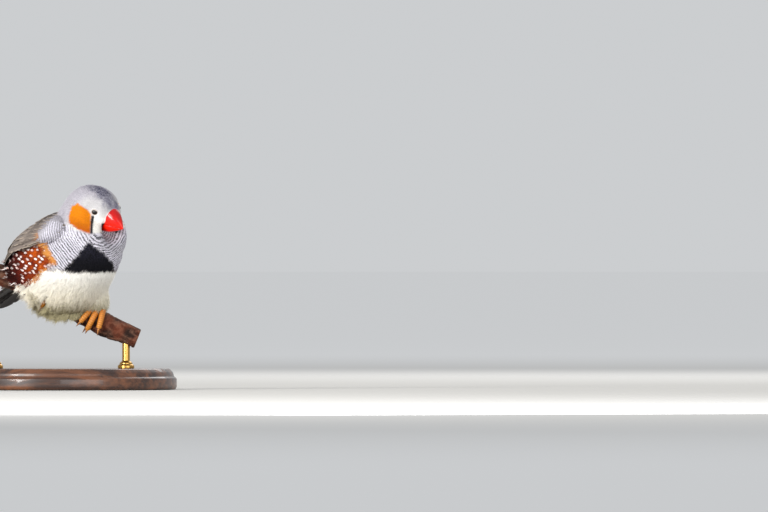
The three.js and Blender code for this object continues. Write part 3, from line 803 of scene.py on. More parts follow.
def scattered(dice):
    """Roots all over the skin, closer together where the feathers are short."""
    corners = np.concatenate([skin_quads[:, [0, 1, 2]], skin_quads[:, [0, 2, 3]]])
    a, b, c = (skin[corners[:, i]] for i in range(3))
    area = np.linalg.norm(np.cross(b - a, c - a), axis=1) / 2
    length = feather_length((a + b + c) / 3)
    spacing = length * DENSE * np.interp(length, *CLOSER)
    wanted = area / spacing**2 * TRIES
    picked = dice.choice(len(corners), int(wanted.sum()), p=wanted / wanted.sum())
    first, second = dice.random((2, len(picked), 1))
    fold = first + second > 1
    first, second = np.where(fold, 1 - first, first), np.where(fold, 1 - second, second)
    weights = (1 - first - second, first, second)
    roots = sum(w * skin[corners[picked, i]] for i, w in enumerate(weights))
    out = unit(sum(w * skin_out[corners[picked, i]] for i, w in enumerate(weights)))
    step = np.round(2 * np.log2(spacing[picked])) / 2
    cells = np.column_stack([np.floor(roots / (2.0 ** step[:, None])), step * 2]).astype(int)
    kept = np.unique(cells, axis=0, return_index=True)[1]
    return roots[kept], out[kept]


def lie_of_coat(points, out):
    """Feathers point away from the bill and towards the tail, flat on the skin."""
    away = unit(points - BILL_ROOT_IN_BODY) + LEAN
    sway = ripple(points, 9, 31)[:, None] * 0.2
    across = np.cross(out, away)
    flat = away + sway * across
    return unit(flat - (flat * out).sum(1, keepdims=True) * out)


roots, roots_out = scattered(np.random.default_rng(7))
roots_lie = lie_of_coat(roots, roots_out)
print("roots on the skin:", len(roots))

# %% [markdown]
# ### Places without feathers
# No feather grows where the bill, an eye or a foot is, and none lies over the end of the one toe that
# shows below the belly. The twig passes under the belly, so the fluff near it is pushed round the bark,
# as it would be on a bird that sits down on its feet.

# %% The twig's course
TWIG_COURSE = np.array([(-27.5, 46.2), (-12, 40), (0, 33.6), (12, 27.6), (22, 23.2), (31, 19.6)])
TWIG_Y = -6.0
TWIG_RADIUS = 3.9
TWIG_STEPS = 400
KNOT = {"at": 0.78, "half": 0.05, "rise": 0.14}


def smooth_course(knots, samples=60):
    """A rounded line through the knots, as points an even step apart."""
    ends = [2 * knots[0] - knots[1], *knots, 2 * knots[-1] - knots[-2]]
    line = []
    for p0, p1, p2, p3 in zip(ends, ends[1:], ends[2:], ends[3:]):
        t1 = np.linalg.norm(p1 - p0) ** 0.5
        t2 = t1 + np.linalg.norm(p2 - p1) ** 0.5
        t3 = t2 + np.linalg.norm(p3 - p2) ** 0.5
        for t in np.linspace(t1, t2, samples, endpoint=False):
            a1 = p0 + (p1 - p0) * t / t1
            a2 = p1 + (p2 - p1) * (t - t1) / (t2 - t1)
            a3 = p2 + (p3 - p2) * (t - t2) / (t3 - t2)
            b1 = a1 + (a2 - a1) * t / t2
            b2 = a2 + (a3 - a2) * (t - t1) / (t3 - t1)
            line.append(b1 + (b2 - b1) * (t - t1) / (t2 - t1))
    line = np.array([*line, knots[-1]])
    run = np.concatenate([[0], np.cumsum(np.linalg.norm(np.diff(line, axis=0), axis=1))])
    even = np.linspace(0, run[-1], TWIG_STEPS + 1)
    return np.stack([np.interp(even, run, line[:, i]) for i in range(2)], axis=1), run[-1]


twig_line, twig_length = smooth_course(TWIG_COURSE)


def twig_at(share):
    """Points of the middle line, at shares of its length from its high end."""
    place, steps = np.asarray(share, float) * TWIG_STEPS, np.arange(TWIG_STEPS + 1)
    x = np.interp(place, steps, twig_line[:, 0])
    z = np.interp(place, steps, twig_line[:, 1])
    return np.stack([x, np.full_like(x, TWIG_Y), z], axis=-1)


def share_at_x(x):
    return np.interp(x, twig_line[:, 0], np.linspace(0, 1, TWIG_STEPS + 1))


def twig_radius(share):
    """The twig's radius: a little thicker towards its low end, wavy, and swollen at a knot."""
    knot = np.exp(-(((share - KNOT["at"]) / KNOT["half"]) ** 2))
    return TWIG_RADIUS * (1 + KNOT["rise"] * knot + 0.05 * np.sin(share * 17) + 0.06 * (share - 0.5))


def beside_twig(room_points):
    """The nearest share of the twig, and the way and distance from its middle line."""
    share = share_at_x(room_points[:, 0])
    for _ in range(3):
        tangent = unit(twig_at(share + 0.004) - twig_at(share - 0.004))
        ahead = ((room_points - twig_at(share)) * tangent).sum(1)
        share = np.clip(share + ahead / twig_length, 0, 1)
    way = room_points - twig_at(share)
    return share, way, np.linalg.norm(way, axis=1)


print("the twig is", round(twig_length, 1), "mm long")

# %% Feet on the twig
FEET = {"right": -4.2, "left": 13.8}  # where each stands, along the room's width
TOE_RADIUS = 1.1
TOES = {
    "middle": {"root": 0, "spread": -0.4, "turn": (70, -50), "claw": 3.8},
    "inner": {"root": -1.9, "spread": -4.0, "turn": (64, -30), "claw": 3.2},
    "outer": {"root": 1.9, "spread": 3.4, "turn": (64, -20), "claw": 3.2},
    "hind": {"root": 0, "spread": -1.2, "turn": (114, 226), "claw": 4.2},
}
GAP = 0.3  # the air between neighbours
CRUST = 0.12  # how far the bark's crust stands out


def round_twig(share, degrees, off):
    """Points round the twig: 0 degrees is its front, 90 its top, 180 its back."""
    along = unit(twig_at(share + 0.003) - twig_at(share - 0.003))
    front = np.array([0.0, -1.0, 0.0])
    top = unit(np.cross(along, front))
    top = np.where(top[..., 2:] < 0, -top, top)
    angle = np.radians(degrees)[..., None]
    way = np.cos(angle) * front + np.sin(angle) * top
    return twig_at(share) + way * np.asarray(off)[..., None], way


def toe_line(foot, toe, steps):
    """A toe's middle line round the twig, and the way out from the bark at each step."""
    mirror = 1 if foot == "left" else -1
    u = np.linspace(0, 1, steps)
    aside = (toe["root"] + (toe["spread"] - toe["root"]) * u) * mirror
    share = share_at_x(FEET[foot]) + aside / twig_length
    degrees = toe["turn"][0] + (toe["turn"][1] - toe["turn"][0]) * u
    return round_twig(share, degrees, twig_radius(share) + TOE_RADIUS + GAP + CRUST)


toe_room = np.concatenate([toe_line(foot, toe, 12)[0] for foot in FEET for toe in TOES.values()])
toe_end = toe_line("right", TOES["middle"], 14)[0][9:]
claw_way = toe_end[-1] - toe_end[-2]
toe_end = np.vstack([toe_end, toe_end[-1] + np.outer((1, 2, 3), claw_way)])
print("places to keep clear:", len(toe_room), "on the toes,", len(toe_end), "at the end that shows")

# %% Places kept bare
BESIDE_TOES, OVER_TOE_END = 0.2, 0.5  # how far feathers keep from any toe, and from the one that shows
BESIDE_EYE = 0.2


def parted_round_eyes(points, lie):
    """Feathers that would point at an eye run round it instead."""
    head = body_to_head(points)
    for side in (1, -1):
        middle, look = eye_place(side)
        way = head - middle
        forward = way @ look
        aside = way - forward[:, None] * look
        off = np.linalg.norm(aside, axis=1)
        outwards = head_to_body(aside / off[:, None]) - head_to_body(np.zeros((1, 3)))
        inwards = np.minimum((lie * outwards).sum(1) - 0.25, 0)
        inwards = inwards * ramp(-off, -3.2, -1.9) * (forward > 0)
        lie = lie - outwards * inwards[:, None]
    return unit(lie)


def in_bill(head, allowance):
    """True inside the bill's outline, drawn in where the allowance is less than 1."""
    local = (head - BILL_ROOT) @ BILL_TURN
    wide, deep = bill_taper(local[:, 0] / BILL["length"], local[:, 2] > 0)
    square = np.where(local[:, 2] > 0, BILL_SIDES["upper"], BILL_SIDES["lower"])
    section = np.abs(local[:, 1] / wide) ** (2 / square) + (local[:, 2] / deep) ** 2
    return (local[:, 0] > -1.5) & (section < allowance)


def bare(points, tips):
    """True where a feather would grow out of, or lie over, the bill, an eye or a foot."""
    head, head_tip = body_to_head(points), body_to_head(tips)
    gone = in_bill(head, 1.0) | in_bill(head_tip, 0.7)
    for side in (1, -1):
        middle, look = eye_place(side)
        for test in (head, head_tip):
            way = test - middle
            forward = way @ look
            off = np.linalg.norm(way - forward[:, None] * look, axis=1)
            gone |= (forward > 0) & (off < EYE["opening"] + BESIDE_EYE)
    room, room_tips = body_to_room(points), body_to_room(tips)
    for toe_point in toe_room:
        gone |= np.linalg.norm(room - toe_point, axis=1) < TOE_RADIUS + BESIDE_TOES
    for toe_point in toe_end:
        for test in (room, (room + room_tips) / 2, room_tips):
            off = np.linalg.norm((test - toe_point)[:, [0, 2]], axis=1)
            gone |= (test[:, 1] < toe_point[1] + 0.5) & (off < TOE_RADIUS + OVER_TOE_END)
    return gone


def clear_of_twig(room_points, room_for):
    """Pushes what would lie in the wood out to its bark."""
    near = (np.abs(room_points[:, 1] - TWIG_Y) < 8) & (room_points[:, 2] < 50)
    some = room_points[near]
    share, way, off = beside_twig(some)
    least = twig_radius(share) + room_for
    pushed = twig_at(share) + unit(way) * np.maximum(off, least)[:, None]
    inside = (share > 0) & (share < 1)
    some[inside] = pushed[inside]
    room_points[near] = some
    return room_points


parted_lie = parted_round_eyes(roots, roots_lie)
print("feathers turned aside for an eye:", int((np.abs(parted_lie - roots_lie) > 0.01).any(1).sum()))
roots_lie = parted_lie


# %% A tuft
def tuft_pattern(fingers, split):
    """One tuft's points as shares (along, across) and its faces."""
    edges = np.linspace(-1, 1, fingers + 1)
    middles = (edges[1:] + edges[:-1]) / 2
    base = np.column_stack([np.zeros(fingers + 1), edges * 0.32])
    waist = np.column_stack([split * (1 - 0.14 * edges**2), edges])
    tips = np.column_stack([1 - 0.26 * middles**2, middles * 0.96])
    first = np.arange(fingers)
    wide = fingers + 1
    quads = np.column_stack([first, first + 1, first + wide + 1, first + wide])
    points = np.column_stack([first + wide, first + wide + 1, first + 2 * wide])
    return np.concatenate([base, waist, tips]), quads, points


def tufts(roots, out, lie, length, breadth, fingers, split, lift, droop, ragged, dice):
    """Many tufts at once, in the body's frame, with the flat places that their markings are read at.

    fingers is the number of points, split the share of the length where they part. lift and droop shape
    the rise off the skin, and ragged scatters all of it.
    """
    shape, quads, points = tuft_pattern(fingers, split)
    count, size = len(roots), len(shape)
    angle = dice.normal(0, ragged * 0.55, count)[:, None]
    side = np.cross(out, lie)
    lie, side = lie * np.cos(angle) + side * np.sin(angle), side * np.cos(angle) - lie * np.sin(angle)
    length = length * dice.uniform(0.82, 1.18, count)
    along = np.tile(shape[:, 0], (count, 1))
    across = np.tile(shape[:, 1], (count, 1))
    tip = slice(2 * fingers + 2, None)
    along[:, tip] += dice.normal(0, 0.07 + 0.12 * ragged, (count, fingers))
    across[:, tip] += dice.normal(0, 0.05 + 0.25 * ragged, (count, fingers))
    rise = lift * dice.uniform(0.75, 1.3, (count, 1)) * along - droop * along**2
    rise = rise * length[:, None] - 0.22 * across**2 * breadth[:, None]
    rise[:, tip] += dice.normal(0, 0.04 + 0.08 * ragged, (count, fingers)) * length[:, None]
    rise[:, : fingers + 1] -= 0.15
    flat = roots[:, None] + lie[:, None] * (along * length[:, None])[..., None]
    flat = flat + side[:, None] * (across * breadth[:, None])[..., None]
    solid = flat + out[:, None] * rise[..., None]
    begin = (np.arange(count) * size)[:, None, None]
    faces = [(quads + begin).reshape(-1, 4), (points + begin).reshape(-1, 3)]
    return solid.reshape(-1, 3), flat.reshape(-1, 3), faces, shape


print("a tuft with six points has", len(tuft_pattern(6, 0.6)[0]), "corners")

# %% [markdown]
# ### A place on the unwrapped skin for each tuft
# Baked colours need a UV map. Each tuft gets one small patch of it, at its root's place on the unwrapped
# skin: the skin is opened out round its middle like a map of the earth, with areas kept.


# %% Patches of the unwrapped skin
PATCH = 0.003  # a tuft's width on the map, which is 1 wide
MAP_EDGE = 0.01


def skin_patches(roots, centre, shape):
    way = unit(roots - centre)
    across = 0.5 + np.arctan2(way[:, 1], way[:, 0]) / (2 * math.pi)
    up = 0.5 + way[:, 2] / 2
    place = MAP_EDGE + (1 - 2 * MAP_EDGE) * np.column_stack([across, up])
    local = np.column_stack([shape[:, 1] * 0.5, shape[:, 0] - 0.5]) * PATCH
    return (place[:, None] + local[None]).reshape(-1, 2)


# %% One piece of coat
FINER = ("bar_place", "spot_along", "spot_up")  # read at every corner, because bars are so fine
CLEAR_OF_BARK = 0.25


def add_coat(name, chosen, fingers, split, lift, droop, ragged, slot, breadth=0.27, crisp=False):
    """Tufts on the chosen roots. crisp reads the colours at every corner too, not once for a tuft."""
    dice = np.random.default_rng(len(name) * 101 + fingers)
    at, out, lie = roots[chosen], roots_out[chosen], roots_lie[chosen]
    length = feather_length(at)
    keep = ~bare(at, at + lie * length[:, None])
    at, out, lie, length = at[keep], out[keep], lie[keep], length[keep]
    wide = length * breadth * dice.uniform(0.85, 1.2, len(at))
    made = tufts(at, out, lie, length, wide, fingers, split, lift, droop, ragged, dice)
    solid, flat, faces, shape = made
    size = len(shape)
    at_tip = at + lie * (length * 0.72)[:, None]
    tint = dice.uniform(0.9, 1.08, len(at))[:, None]
    values = carried_values(at_tip, tint)
    values = {key: np.repeat(data, size, axis=0) for key, data in values.items()}
    depth = np.tile(0.84 + 0.2 * shape[:, 0], len(at))[:, None]  # darker at the root
    values["plumage"] = np.clip(values["plumage"] * depth, 0, 1)
    fine = carried_values(flat)
    for key in FINER:
        values[key] = fine[key]
    values["bar_place"] = values["bar_place"] + np.repeat(dice.normal(0, 0.11, len(at)), size)
    if crisp:
        values["plumage"] = fine["plumage"] * np.repeat(tint, size, axis=0) * depth
    room = clear_of_twig(body_to_room(solid), CLEAR_OF_BARK)
    patches = skin_patches(at, np.zeros(3), shape)
    return add_mesh(name, room, faces, plumage, values, patches)


print("a row of the map holds", round((1 - 2 * MAP_EDGE) / PATCH), "patches side by side")

# %% [markdown]
# ### The coat, piece by piece
# The coat is cut where its feathers change: short and fine on the face, whose marks are finer than a
# tuft, then head, breast, spotted flanks, loose belly and back. Crown and nape are alike, and so are the
# belly's front and rear. They are apart only because a piece may not have too many triangles.

# %% The coat, piece by piece
FACE_REACH, CROWN_REACH, HEAD_REACH = 11.5, 16.8, 21  # from the root of the bill
TUFTS = {  # points, where they part, lift, droop, raggedness
    "face": (4, 0.55, 0.30, 0.12, 0.22),
    "head": (5, 0.55, 0.32, 0.14, 0.25),
    "breast": (6, 0.6, 0.30, 0.14, 0.2),
    "flank": (6, 0.6, 0.34, 0.16, 0.3),
    "belly": (7, 0.42, 0.34, 0.16, 0.4),
    "back": (6, 0.6, 0.26, 0.12, 0.25),
    "shoulder": (6, 0.6, 0.2, 0.08, 0.2),
}
forward, height, away_from_bill = roots[:, 0], roots[:, 2], from_bill(roots)
on_face = away_from_bill < FACE_REACH
on_head = ~on_face & (away_from_bill < HEAD_REACH)
on_crown = on_head & (away_from_bill < CROWN_REACH)
spotted = (masks(roots)["flank"] > 0.3) & ~on_head
below = (height < -4) & ~on_head & ~spotted & (forward > -26)
breast = ~on_face & ~on_head & ~spotted & ~below & (forward > 3)
behind = ~(on_face | on_head | spotted | below | breast)
add_coat("coat_face", on_face, *TUFTS["face"], "head_feathers", crisp=True)
add_coat("coat_crown", on_crown, *TUFTS["head"], "head_feathers")
add_coat("coat_nape", on_head & ~on_crown, *TUFTS["head"], "head_feathers")
add_coat("coat_breast", breast, *TUFTS["breast"], "throat_feathers")
add_coat("coat_flanks", spotted, *TUFTS["flank"], "belly_feathers")
for name, part in (("coat_belly_front", forward > 2), ("coat_belly_rear", forward <= 2)):
    add_coat(name, below & part, *TUFTS["belly"], "belly_feathers", breadth=0.19)
add_coat("coat_back", behind, *TUFTS["back"], "wing_feathers")

# %% [markdown]
# ## The bill
# The bill is a short cone, deep at its root, with a curved ridge, and its upper half reaches a little
# past the lower one. The halves meet along a line that is level and kinks down at the corner of the
# mouth. Each half is a closed ring of points swept from the face to the tip, so that its cutting edge is
# sharp and its horn smooth. The horn is painted a darker crimson towards its top, a painted shade, and
# the nostrils are two small dark spots, a painted shade for their hollows.


# %% Two halves of the bill
def end_fans(rows, around):
    """Triangles over both ends of a tube, each round a point stored after all of its rings."""
    step = np.arange(around)
    beside = (step + 1) % around
    last_row = (rows - 1) * around
    first = np.column_stack([np.full(around, rows * around), beside, step])
    last = np.column_stack([np.full(around, rows * around + 1), last_row + step, last_row + beside])
    return np.concatenate([first, last])


MOUTH_BEND = 2.4
BILL_START = -2.0  # hidden in the face
LOWER_REACH = 0.86  # of the upper half's length
NOSTRIL = np.array([1.7, 1.75, 4.1])
NOSTRIL_RADIUS = 0.45


def mouth_height(x):
    return -0.8 + 0.052 * x - 0.3125 * np.maximum(MOUTH_BEND - x, 0)


def bill_ring(at, upper, round_steps=44, inner_steps=8):
    """One ring of a half: round its outside from edge to edge, and back through the mouth."""
    wide, up = bill_taper(at / BILL["length"], True)
    _, down = bill_taper(at / BILL["length"], False)
    mouth = mouth_height(at) + (0.05 if upper else -0.12)
    edge = math.asin(np.clip(mouth / (down if mouth < 0 else up), -1, 1))
    if upper:
        angles = np.linspace(edge, math.pi - edge, round_steps)
    else:
        angles = np.linspace(math.pi - edge, 2 * math.pi + edge, round_steps)
    sin, cos = np.sin(angles), np.cos(angles)
    high = np.where(sin > 0, sin * up, sin * down)
    square = np.where(sin > 0, BILL_SIDES["upper"], BILL_SIDES["lower"])
    width = np.sign(cos) * np.abs(cos) ** square * wide * (1.01 if upper else 0.98)
    back = np.linspace(1, 0, inner_steps + 2)[1:-1]
    inner_wide = width[-1] + (width[0] - width[-1]) * (1 - back)
    arch = 0.5 * np.sin(math.pi * back) * min(1, wide / 3) * (1 if upper else -1)
    inner_high = high[-1] + (high[0] - high[-1]) * (1 - back) + arch
    ring_y, ring_z = np.append(width, inner_wide), np.append(high, inner_high)
    return np.column_stack([np.full(len(ring_y), at), ring_y, ring_z])


def bill_half(upper, rows=64):
    reach = BILL["length"] * (1 if upper else LOWER_REACH)
    sweep = np.linspace(0, 1, rows)
    x = BILL_START + (reach - BILL_START) * (1 - (1 - sweep) ** 1.5)
    rings = [bill_ring(at, upper) for at in x]
    around = len(rings[0])
    ends = np.array([rings[0].mean(0), rings[-1].mean(0)])
    faces = [grid_faces(rows, around, closed=True), end_fans(rows, around)]
    return np.concatenate([*rings, ends]), faces


def bill_to_room(points):
    return body_to_room(head_to_body(points @ BILL_TURN.T + BILL_ROOT))


# %% The horn of the bill
def bill_finish():
    material, tree, shader = new_finish("bill_horn", 0.16, specular=0.35)
    # painted shade: the horn turns a darker crimson towards the top of the bill
    high = stepped(tree, carried(tree, "height"), -1.5, 4.2)
    streaks = noise(tree, 1.1, 4.0)
    base = mixed(tree, high, rgba("e01202"), rgba("9a0012"))
    base = mixed(tree, times(tree, streaks, 0.25), base, rgba("ff3a06"))
    base = mixed(tree, carried(tree, "root"), base, rgba("f05a20"))
    # painted shade: the nostrils are dark spots that stand in for their hollows
    base = mixed(tree, carried(tree, "nostril_shade"), base, rgba("1c0806"))
    tree.links.new(base, shader.inputs["Base Color"])
    bump(tree, shader, noise(tree, 0.8, 3.0), 0.05, 0.35)
    return material


bill_horn = bill_finish()
for half, upper in (("bill_upper", True), ("bill_lower", False)):
    points, faces = bill_half(upper)
    # painted shade for the nostrils' hollows, as dark spots on the upper half
    gaps = [np.linalg.norm(points - NOSTRIL * (1, side, 1), axis=1) for side in (1, -1)]
    nostril_shades = sum(np.exp(-((gap / NOSTRIL_RADIUS) ** 4)) for gap in gaps)
    values = {
        "height": points[:, 2],
        "root": ramp(-points[:, 0], -1.6, 0.2) * 0.5,
        "nostril_shade": nostril_shades * upper,
    }
    piece = add_mesh(half + "_horn", bill_to_room(points), faces, bill_horn, values)
    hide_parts(half)

# %% [markdown]
# ## The eyes
# A finch's eye is almost black, with a dark red-brown iris that shows at its rim, and it sits deep: only
# the front of the ball stands in the opening. The ball is turned about the way that it looks, so the
# iris is a matter of the angle off that axis. Round it runs a narrow lid of tiny pale beads, whose thin
# skirt goes down under the feathers.


# %% Ways round an axis
def full_circle(steps):
    """Angles once round, without a last one that would be the first again."""
    return np.arange(steps) / steps * 2 * math.pi


def swung(angle, first, second):
    """Ways out at these angles, counted from the first way towards the second."""
    return np.cos(angle)[..., None] * first + np.sin(angle)[..., None] * second


def facing_frame(look):
    """The ways left and up beside a way to look."""
    up = unit(np.array([0, 0, 1]) - look * look[2])
    return np.cross(up, look), up


print("beside straight ahead:", *facing_frame(np.array([1.0, 0, 0])))

# %% Eyeball and lid
CORNEA = {"rise": 0.045, "half": 0.42}  # as shares of the radius, and radians off the axis
LID = {"thick": 0.11, "seat": 0.09, "beads": 26, "skirt_wide": 0.6, "skirt_deep": 1.0}


def eyeball(side, rows=40, around=64):
    middle, look = eye_place(side)
    left, up = facing_frame(look)
    polar = np.linspace(0.001, math.pi - 0.001, rows)
    off, angle = np.meshgrid(polar, full_circle(around), indexing="ij")
    radius = EYE["radius"] * (1 + CORNEA["rise"] * np.exp(-((off / CORNEA["half"]) ** 2)))
    way = np.cos(off)[..., None] * look + np.sin(off)[..., None] * swung(angle, left, up)
    points = middle + way * radius[..., None]
    return points.reshape(-1, 3), [grid_faces(rows, around, closed=True)[:, ::-1]], off.ravel()


def lid(side, around=96, tube=16):
    middle, look = eye_place(side)
    left, up = facing_frame(look)
    angle = full_circle(around)
    corner = 1 + 0.09 * np.cos(2 * (angle - 0.25 * side)) - 0.02 * np.sin(angle)
    beads = 1 + 0.09 * np.abs(np.sin(angle * LID["beads"] / 2))
    a, t = np.meshgrid(angle, full_circle(tube), indexing="ij")
    thick = LID["thick"] * beads[:, None] * (1 + 0.3 * (np.sin(a) > 0) * np.sin(a))
    middle_off = (EYE["opening"] + LID["seat"]) * corner[:, None]
    skirt = np.clip(np.cos(t), 0, 1) * np.clip(0.4 - np.sin(t), 0, 1)
    off = middle_off + thick * np.cos(t) + LID["skirt_wide"] * skirt
    seat = np.sqrt((EYE["radius"] + 0.02) ** 2 - middle_off**2)
    forward = seat + thick * np.sin(t) - LID["skirt_deep"] * skirt
    points = middle + look * forward[..., None] + off[..., None] * swung(a, left, up)
    seam = np.arange(tube)
    beside = (seam + 1) % tube
    last = (around - 1) * tube
    joined = np.column_stack([last + seam, last + beside, beside, seam])
    quads = np.concatenate([grid_faces(around, tube, closed=True), joined])
    return points.reshape(-1, 3), [quads], (skirt.ravel() > 0.08) * 1.0


def eye_finish():
    material, tree, shader = new_finish("eye_ball", 0.05, specular=0.4)
    off = carried(tree, "off_axis")
    fibres = stepped(tree, noise(tree, 0.22, 3.0), 0.25, 0.75)
    iris = mixed(tree, fibres, rgba("140504"), rgba("2c0d07"))
    base = mixed(tree, stepped(tree, off, 0.36, 0.41), rgba("030203"), iris)
    base = mixed(tree, stepped(tree, off, 0.60, 0.70), base, rgba("0b0606"))
    tree.links.new(base, shader.inputs["Base Color"])
    return material


def lid_finish():
    material, tree, shader = new_finish("lid_skin", 0.55, specular=0.35)
    base = mixed(tree, noise(tree, 0.4), rgba("c9c0b9"), rgba("a3968c"))
    base = mixed(tree, carried(tree, "skirt"), base, rgba("d8d5d4"))
    tree.links.new(base, shader.inputs["Base Color"])
    bump(tree, shader, noise(tree, 0.15), 0.03, 0.5)
    return material


eye_ball, lid_skin = eye_finish(), lid_finish()
for name, side in (("left", 1), ("right", -1)):
    points, faces, off_axis = eyeball(side)
    room = body_to_room(head_to_body(points))
    ball = add_mesh(f"eyeball_{name}", room, faces, eye_ball, {"off_axis": off_axis})
    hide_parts(f"eye_{name}")
    points, faces, skirt = lid(side)
    add_mesh(f"lid_{name}", body_to_room(head_to_body(points)), faces, lid_skin, {"skirt": skirt})

# %% [markdown]
# ## Folded wings
# A folded wing is a stack of tiers. The flight feathers lie lowest and reach furthest back, and each tier
# of coverts hides the roots of the one below. Every feather is a thin closed blade on the surface of the
# trunk, with a raised shaft, a soft arch across, and splits where its barbs have parted.

# %% The surface that a wing lies on
WING_FRONT, WING_REAR = 13.0, -37.0
WING_AXIS_FRONT, WING_AXIS_REAR = 6.0, -11.0
WING_TIP_OFF = 4.6


def wing_place(s, angle, lift, side):
    """s runs from the wing's bend to its tip, angle from level up towards the back."""
    start = np.stack(
        [
            WING_FRONT + (WING_REAR - WING_FRONT) * s,
            np.zeros_like(s),
            WING_AXIS_FRONT + (WING_AXIS_REAR - WING_AXIS_FRONT) * s,
        ],
        axis=-1,
    )
    way = np.stack([np.zeros_like(s), side * np.cos(angle), np.sin(angle)], axis=-1)
    low, high = np.zeros_like(s), np.full_like(s, 30.0)
    for _ in range(18):
        middle = (low + high) / 2
        probe = start + way * middle[..., None]
        far = np.linalg.norm(probe, axis=-1)
        inside = far < trunk_reach((probe / far[..., None]).reshape(-1, 3)).reshape(far.shape)
        low, high = np.where(inside, middle, low), np.where(inside, high, middle)
    off = (low**4 + (WING_TIP_OFF + 2 * (1 - s)) ** 4) ** 0.25
    return start + way * (off + GAP + lift)[..., None]


def wing_out(s, angle, side):
    step = 0.02
    back = wing_place(s + step, angle, 0 * s, side) - wing_place(s - step, angle, 0 * s, side)
    up = wing_place(s, angle + step, 0 * s, side) - wing_place(s, angle - step, 0 * s, side)
    return unit(np.cross(back, up) * -side)


bend = wing_place(np.zeros(1), np.radians([45.0]), np.zeros(1), 1)[0]
print("the left wing's bend is at", bend.round(1), "in the body's frame")


# %% One blade of a feather
def blade_half(u, half, point=0.55):
    """Half the width along a blade, full soon after its root and rounded at its tip."""
    grown = 0.55 + 0.45 * np.minimum(1, u / 0.35)
    tip = np.clip((u - point) / (1 - point), 0, 1)
    return half * grown * np.sqrt(np.maximum(0.001, 1 - tip**2.6))


def parted_edges(rows, dice, splits):
    """How far each row of barbs reaches, 1 at most, with a few places where they have parted."""
    reach = 1 - 0.05 * dice.random((rows, 2))
    for edge in (0, 1):
        for row in dice.integers(rows // 3, rows - 1, splits):
            reach[row, edge] -= dice.uniform(0.12, 0.5)
    return reach


def blade(surface, length, half, shaft, dice, rows=30, columns=10, splits=3, thick=0.1):
    """A closed blade. surface(u, across) gives points and the way out, across in millimetres."""
    u = np.linspace(0, 1, rows)
    v = np.linspace(-1, 1, columns + 1)
    reach = parted_edges(rows, dice, splits)
    uu, vv = np.meshgrid(u, v, indexing="ij")
    share = np.where(vv < 0, vv * reach[:, :1], vv * reach[:, 1:])
    slant = uu + 0.035 * (1 - np.abs(vv)) * (uu > 0.02) * (uu < 0.98)
    width = blade_half(uu, half)
    across = np.where(share < 0, share * (1 - shaft), share * (1 + shaft)) * width
    points, out = surface(np.clip(slant, 0, 1), across)
    ridge = 0.16 * np.exp(-((across / 0.22) ** 2)) * (1 - 0.7 * uu)
    crown = -0.05 * half * np.abs(share) ** 2
    faces_at = [points + out * (crown + ridge + thick / 2)[..., None]]
    faces_at.append(points + out * (crown - thick / 2)[..., None])
    corners = np.concatenate([part.reshape(-1, 3) for part in faces_at])
    wide = columns + 1
    top = grid_faces(rows, wide)
    under = top[:, ::-1] + rows * wide
    rim = np.concatenate(
        [
            np.arange(wide),
            np.arange(1, rows) * wide + columns,
            (rows - 1) * wide + np.arange(columns - 1, -1, -1),
            np.arange(rows - 2, 0, -1) * wide,
        ]
    )
    beside = np.roll(rim, -1)
    sides = np.column_stack([beside, rim, rim + rows * wide, beside + rows * wide])
    values = {
        "edge": np.abs(share).ravel(),
        "shaft": np.exp(-((across / 0.16) ** 2)).ravel(),
        "barb": (uu * length - np.abs(across) * 0.9).ravel(),
        "along": (uu * length).ravel(),
    }
    values = {key: np.tile(data, 2) for key, data in values.items()}
    return corners, np.concatenate([top, under, sides]), values


class Bundle:
    """Gathers the points, faces and values of many blades for one mesh."""

    def __init__(self):
        self.points, self.faces, self.values, self.count = [], [], {}, 0

    def add(self, points, faces, values, **same):
        self.points.append(points)
        self.faces.append(faces + self.count)
        for key, data in values.items():
            self.values.setdefault(key, []).append(data)
        for key, data in same.items():
            data = np.atleast_1d(data)
            row = np.full(len(points), data[0]) if len(data) == 1 else np.tile(data, (len(points), 1))
            self.values.setdefault(key, []).append(row)
        self.count += len(points)

    def parts(self):
        values = {key: np.concatenate(data) for key, data in self.values.items()}
        return np.concatenate(self.points), [np.concatenate(self.faces)], values


# %% Tiers of a wing
# root, tip, half and lift run from a tier's lowest feather to its highest. low and high are the angles
# round the trunk, at the root and at the tip, of those two feathers.
PRIMARIES = {"count": 8, "root": (0.36, 0.42), "tip": (1.0, 0.76), "low": (17, 6), "high": (38, 53)}
PRIMARIES |= {"half": (2.1, 2.6), "lift": (0.2, 1.0), "tone": "5a504a", "splits": 4, "rim": 0.55}
TERTIALS = {"count": 7, "root": (0.2, 0.26), "tip": (0.74, 0.62), "low": (34, 36), "high": (67, 68)}
TERTIALS |= {"half": (3.0, 3.7), "lift": (1.0, 1.4), "tone": "6b6059", "splits": 3, "rim": 0.7}
GREAT_COVERTS = {"count": 9, "root": (0.12, 0.14), "tip": (0.46, 0.40), "low": (17, 15), "high": (69, 71)}
GREAT_COVERTS |= {"half": (2.2, 2.7), "lift": (1.2, 1.45), "tone": "786c64", "splits": 3, "rim": 0.7}
MIDDLE_COVERTS = {"count": 9, "root": (0.05, 0.06), "tip": (0.3, 0.25), "low": (21, 17), "high": (67, 70)}
MIDDLE_COVERTS |= {"half": (2.1, 2.4), "lift": (1.4, 1.6), "tone": "81756c", "splits": 3, "rim": 0.7}


TRUNK_ROUND = (20, 5.5)  # the trunk's radius at the wing's bend and at its tip


def between(ends, share):
    return np.interp(share, (0, 1), ends)


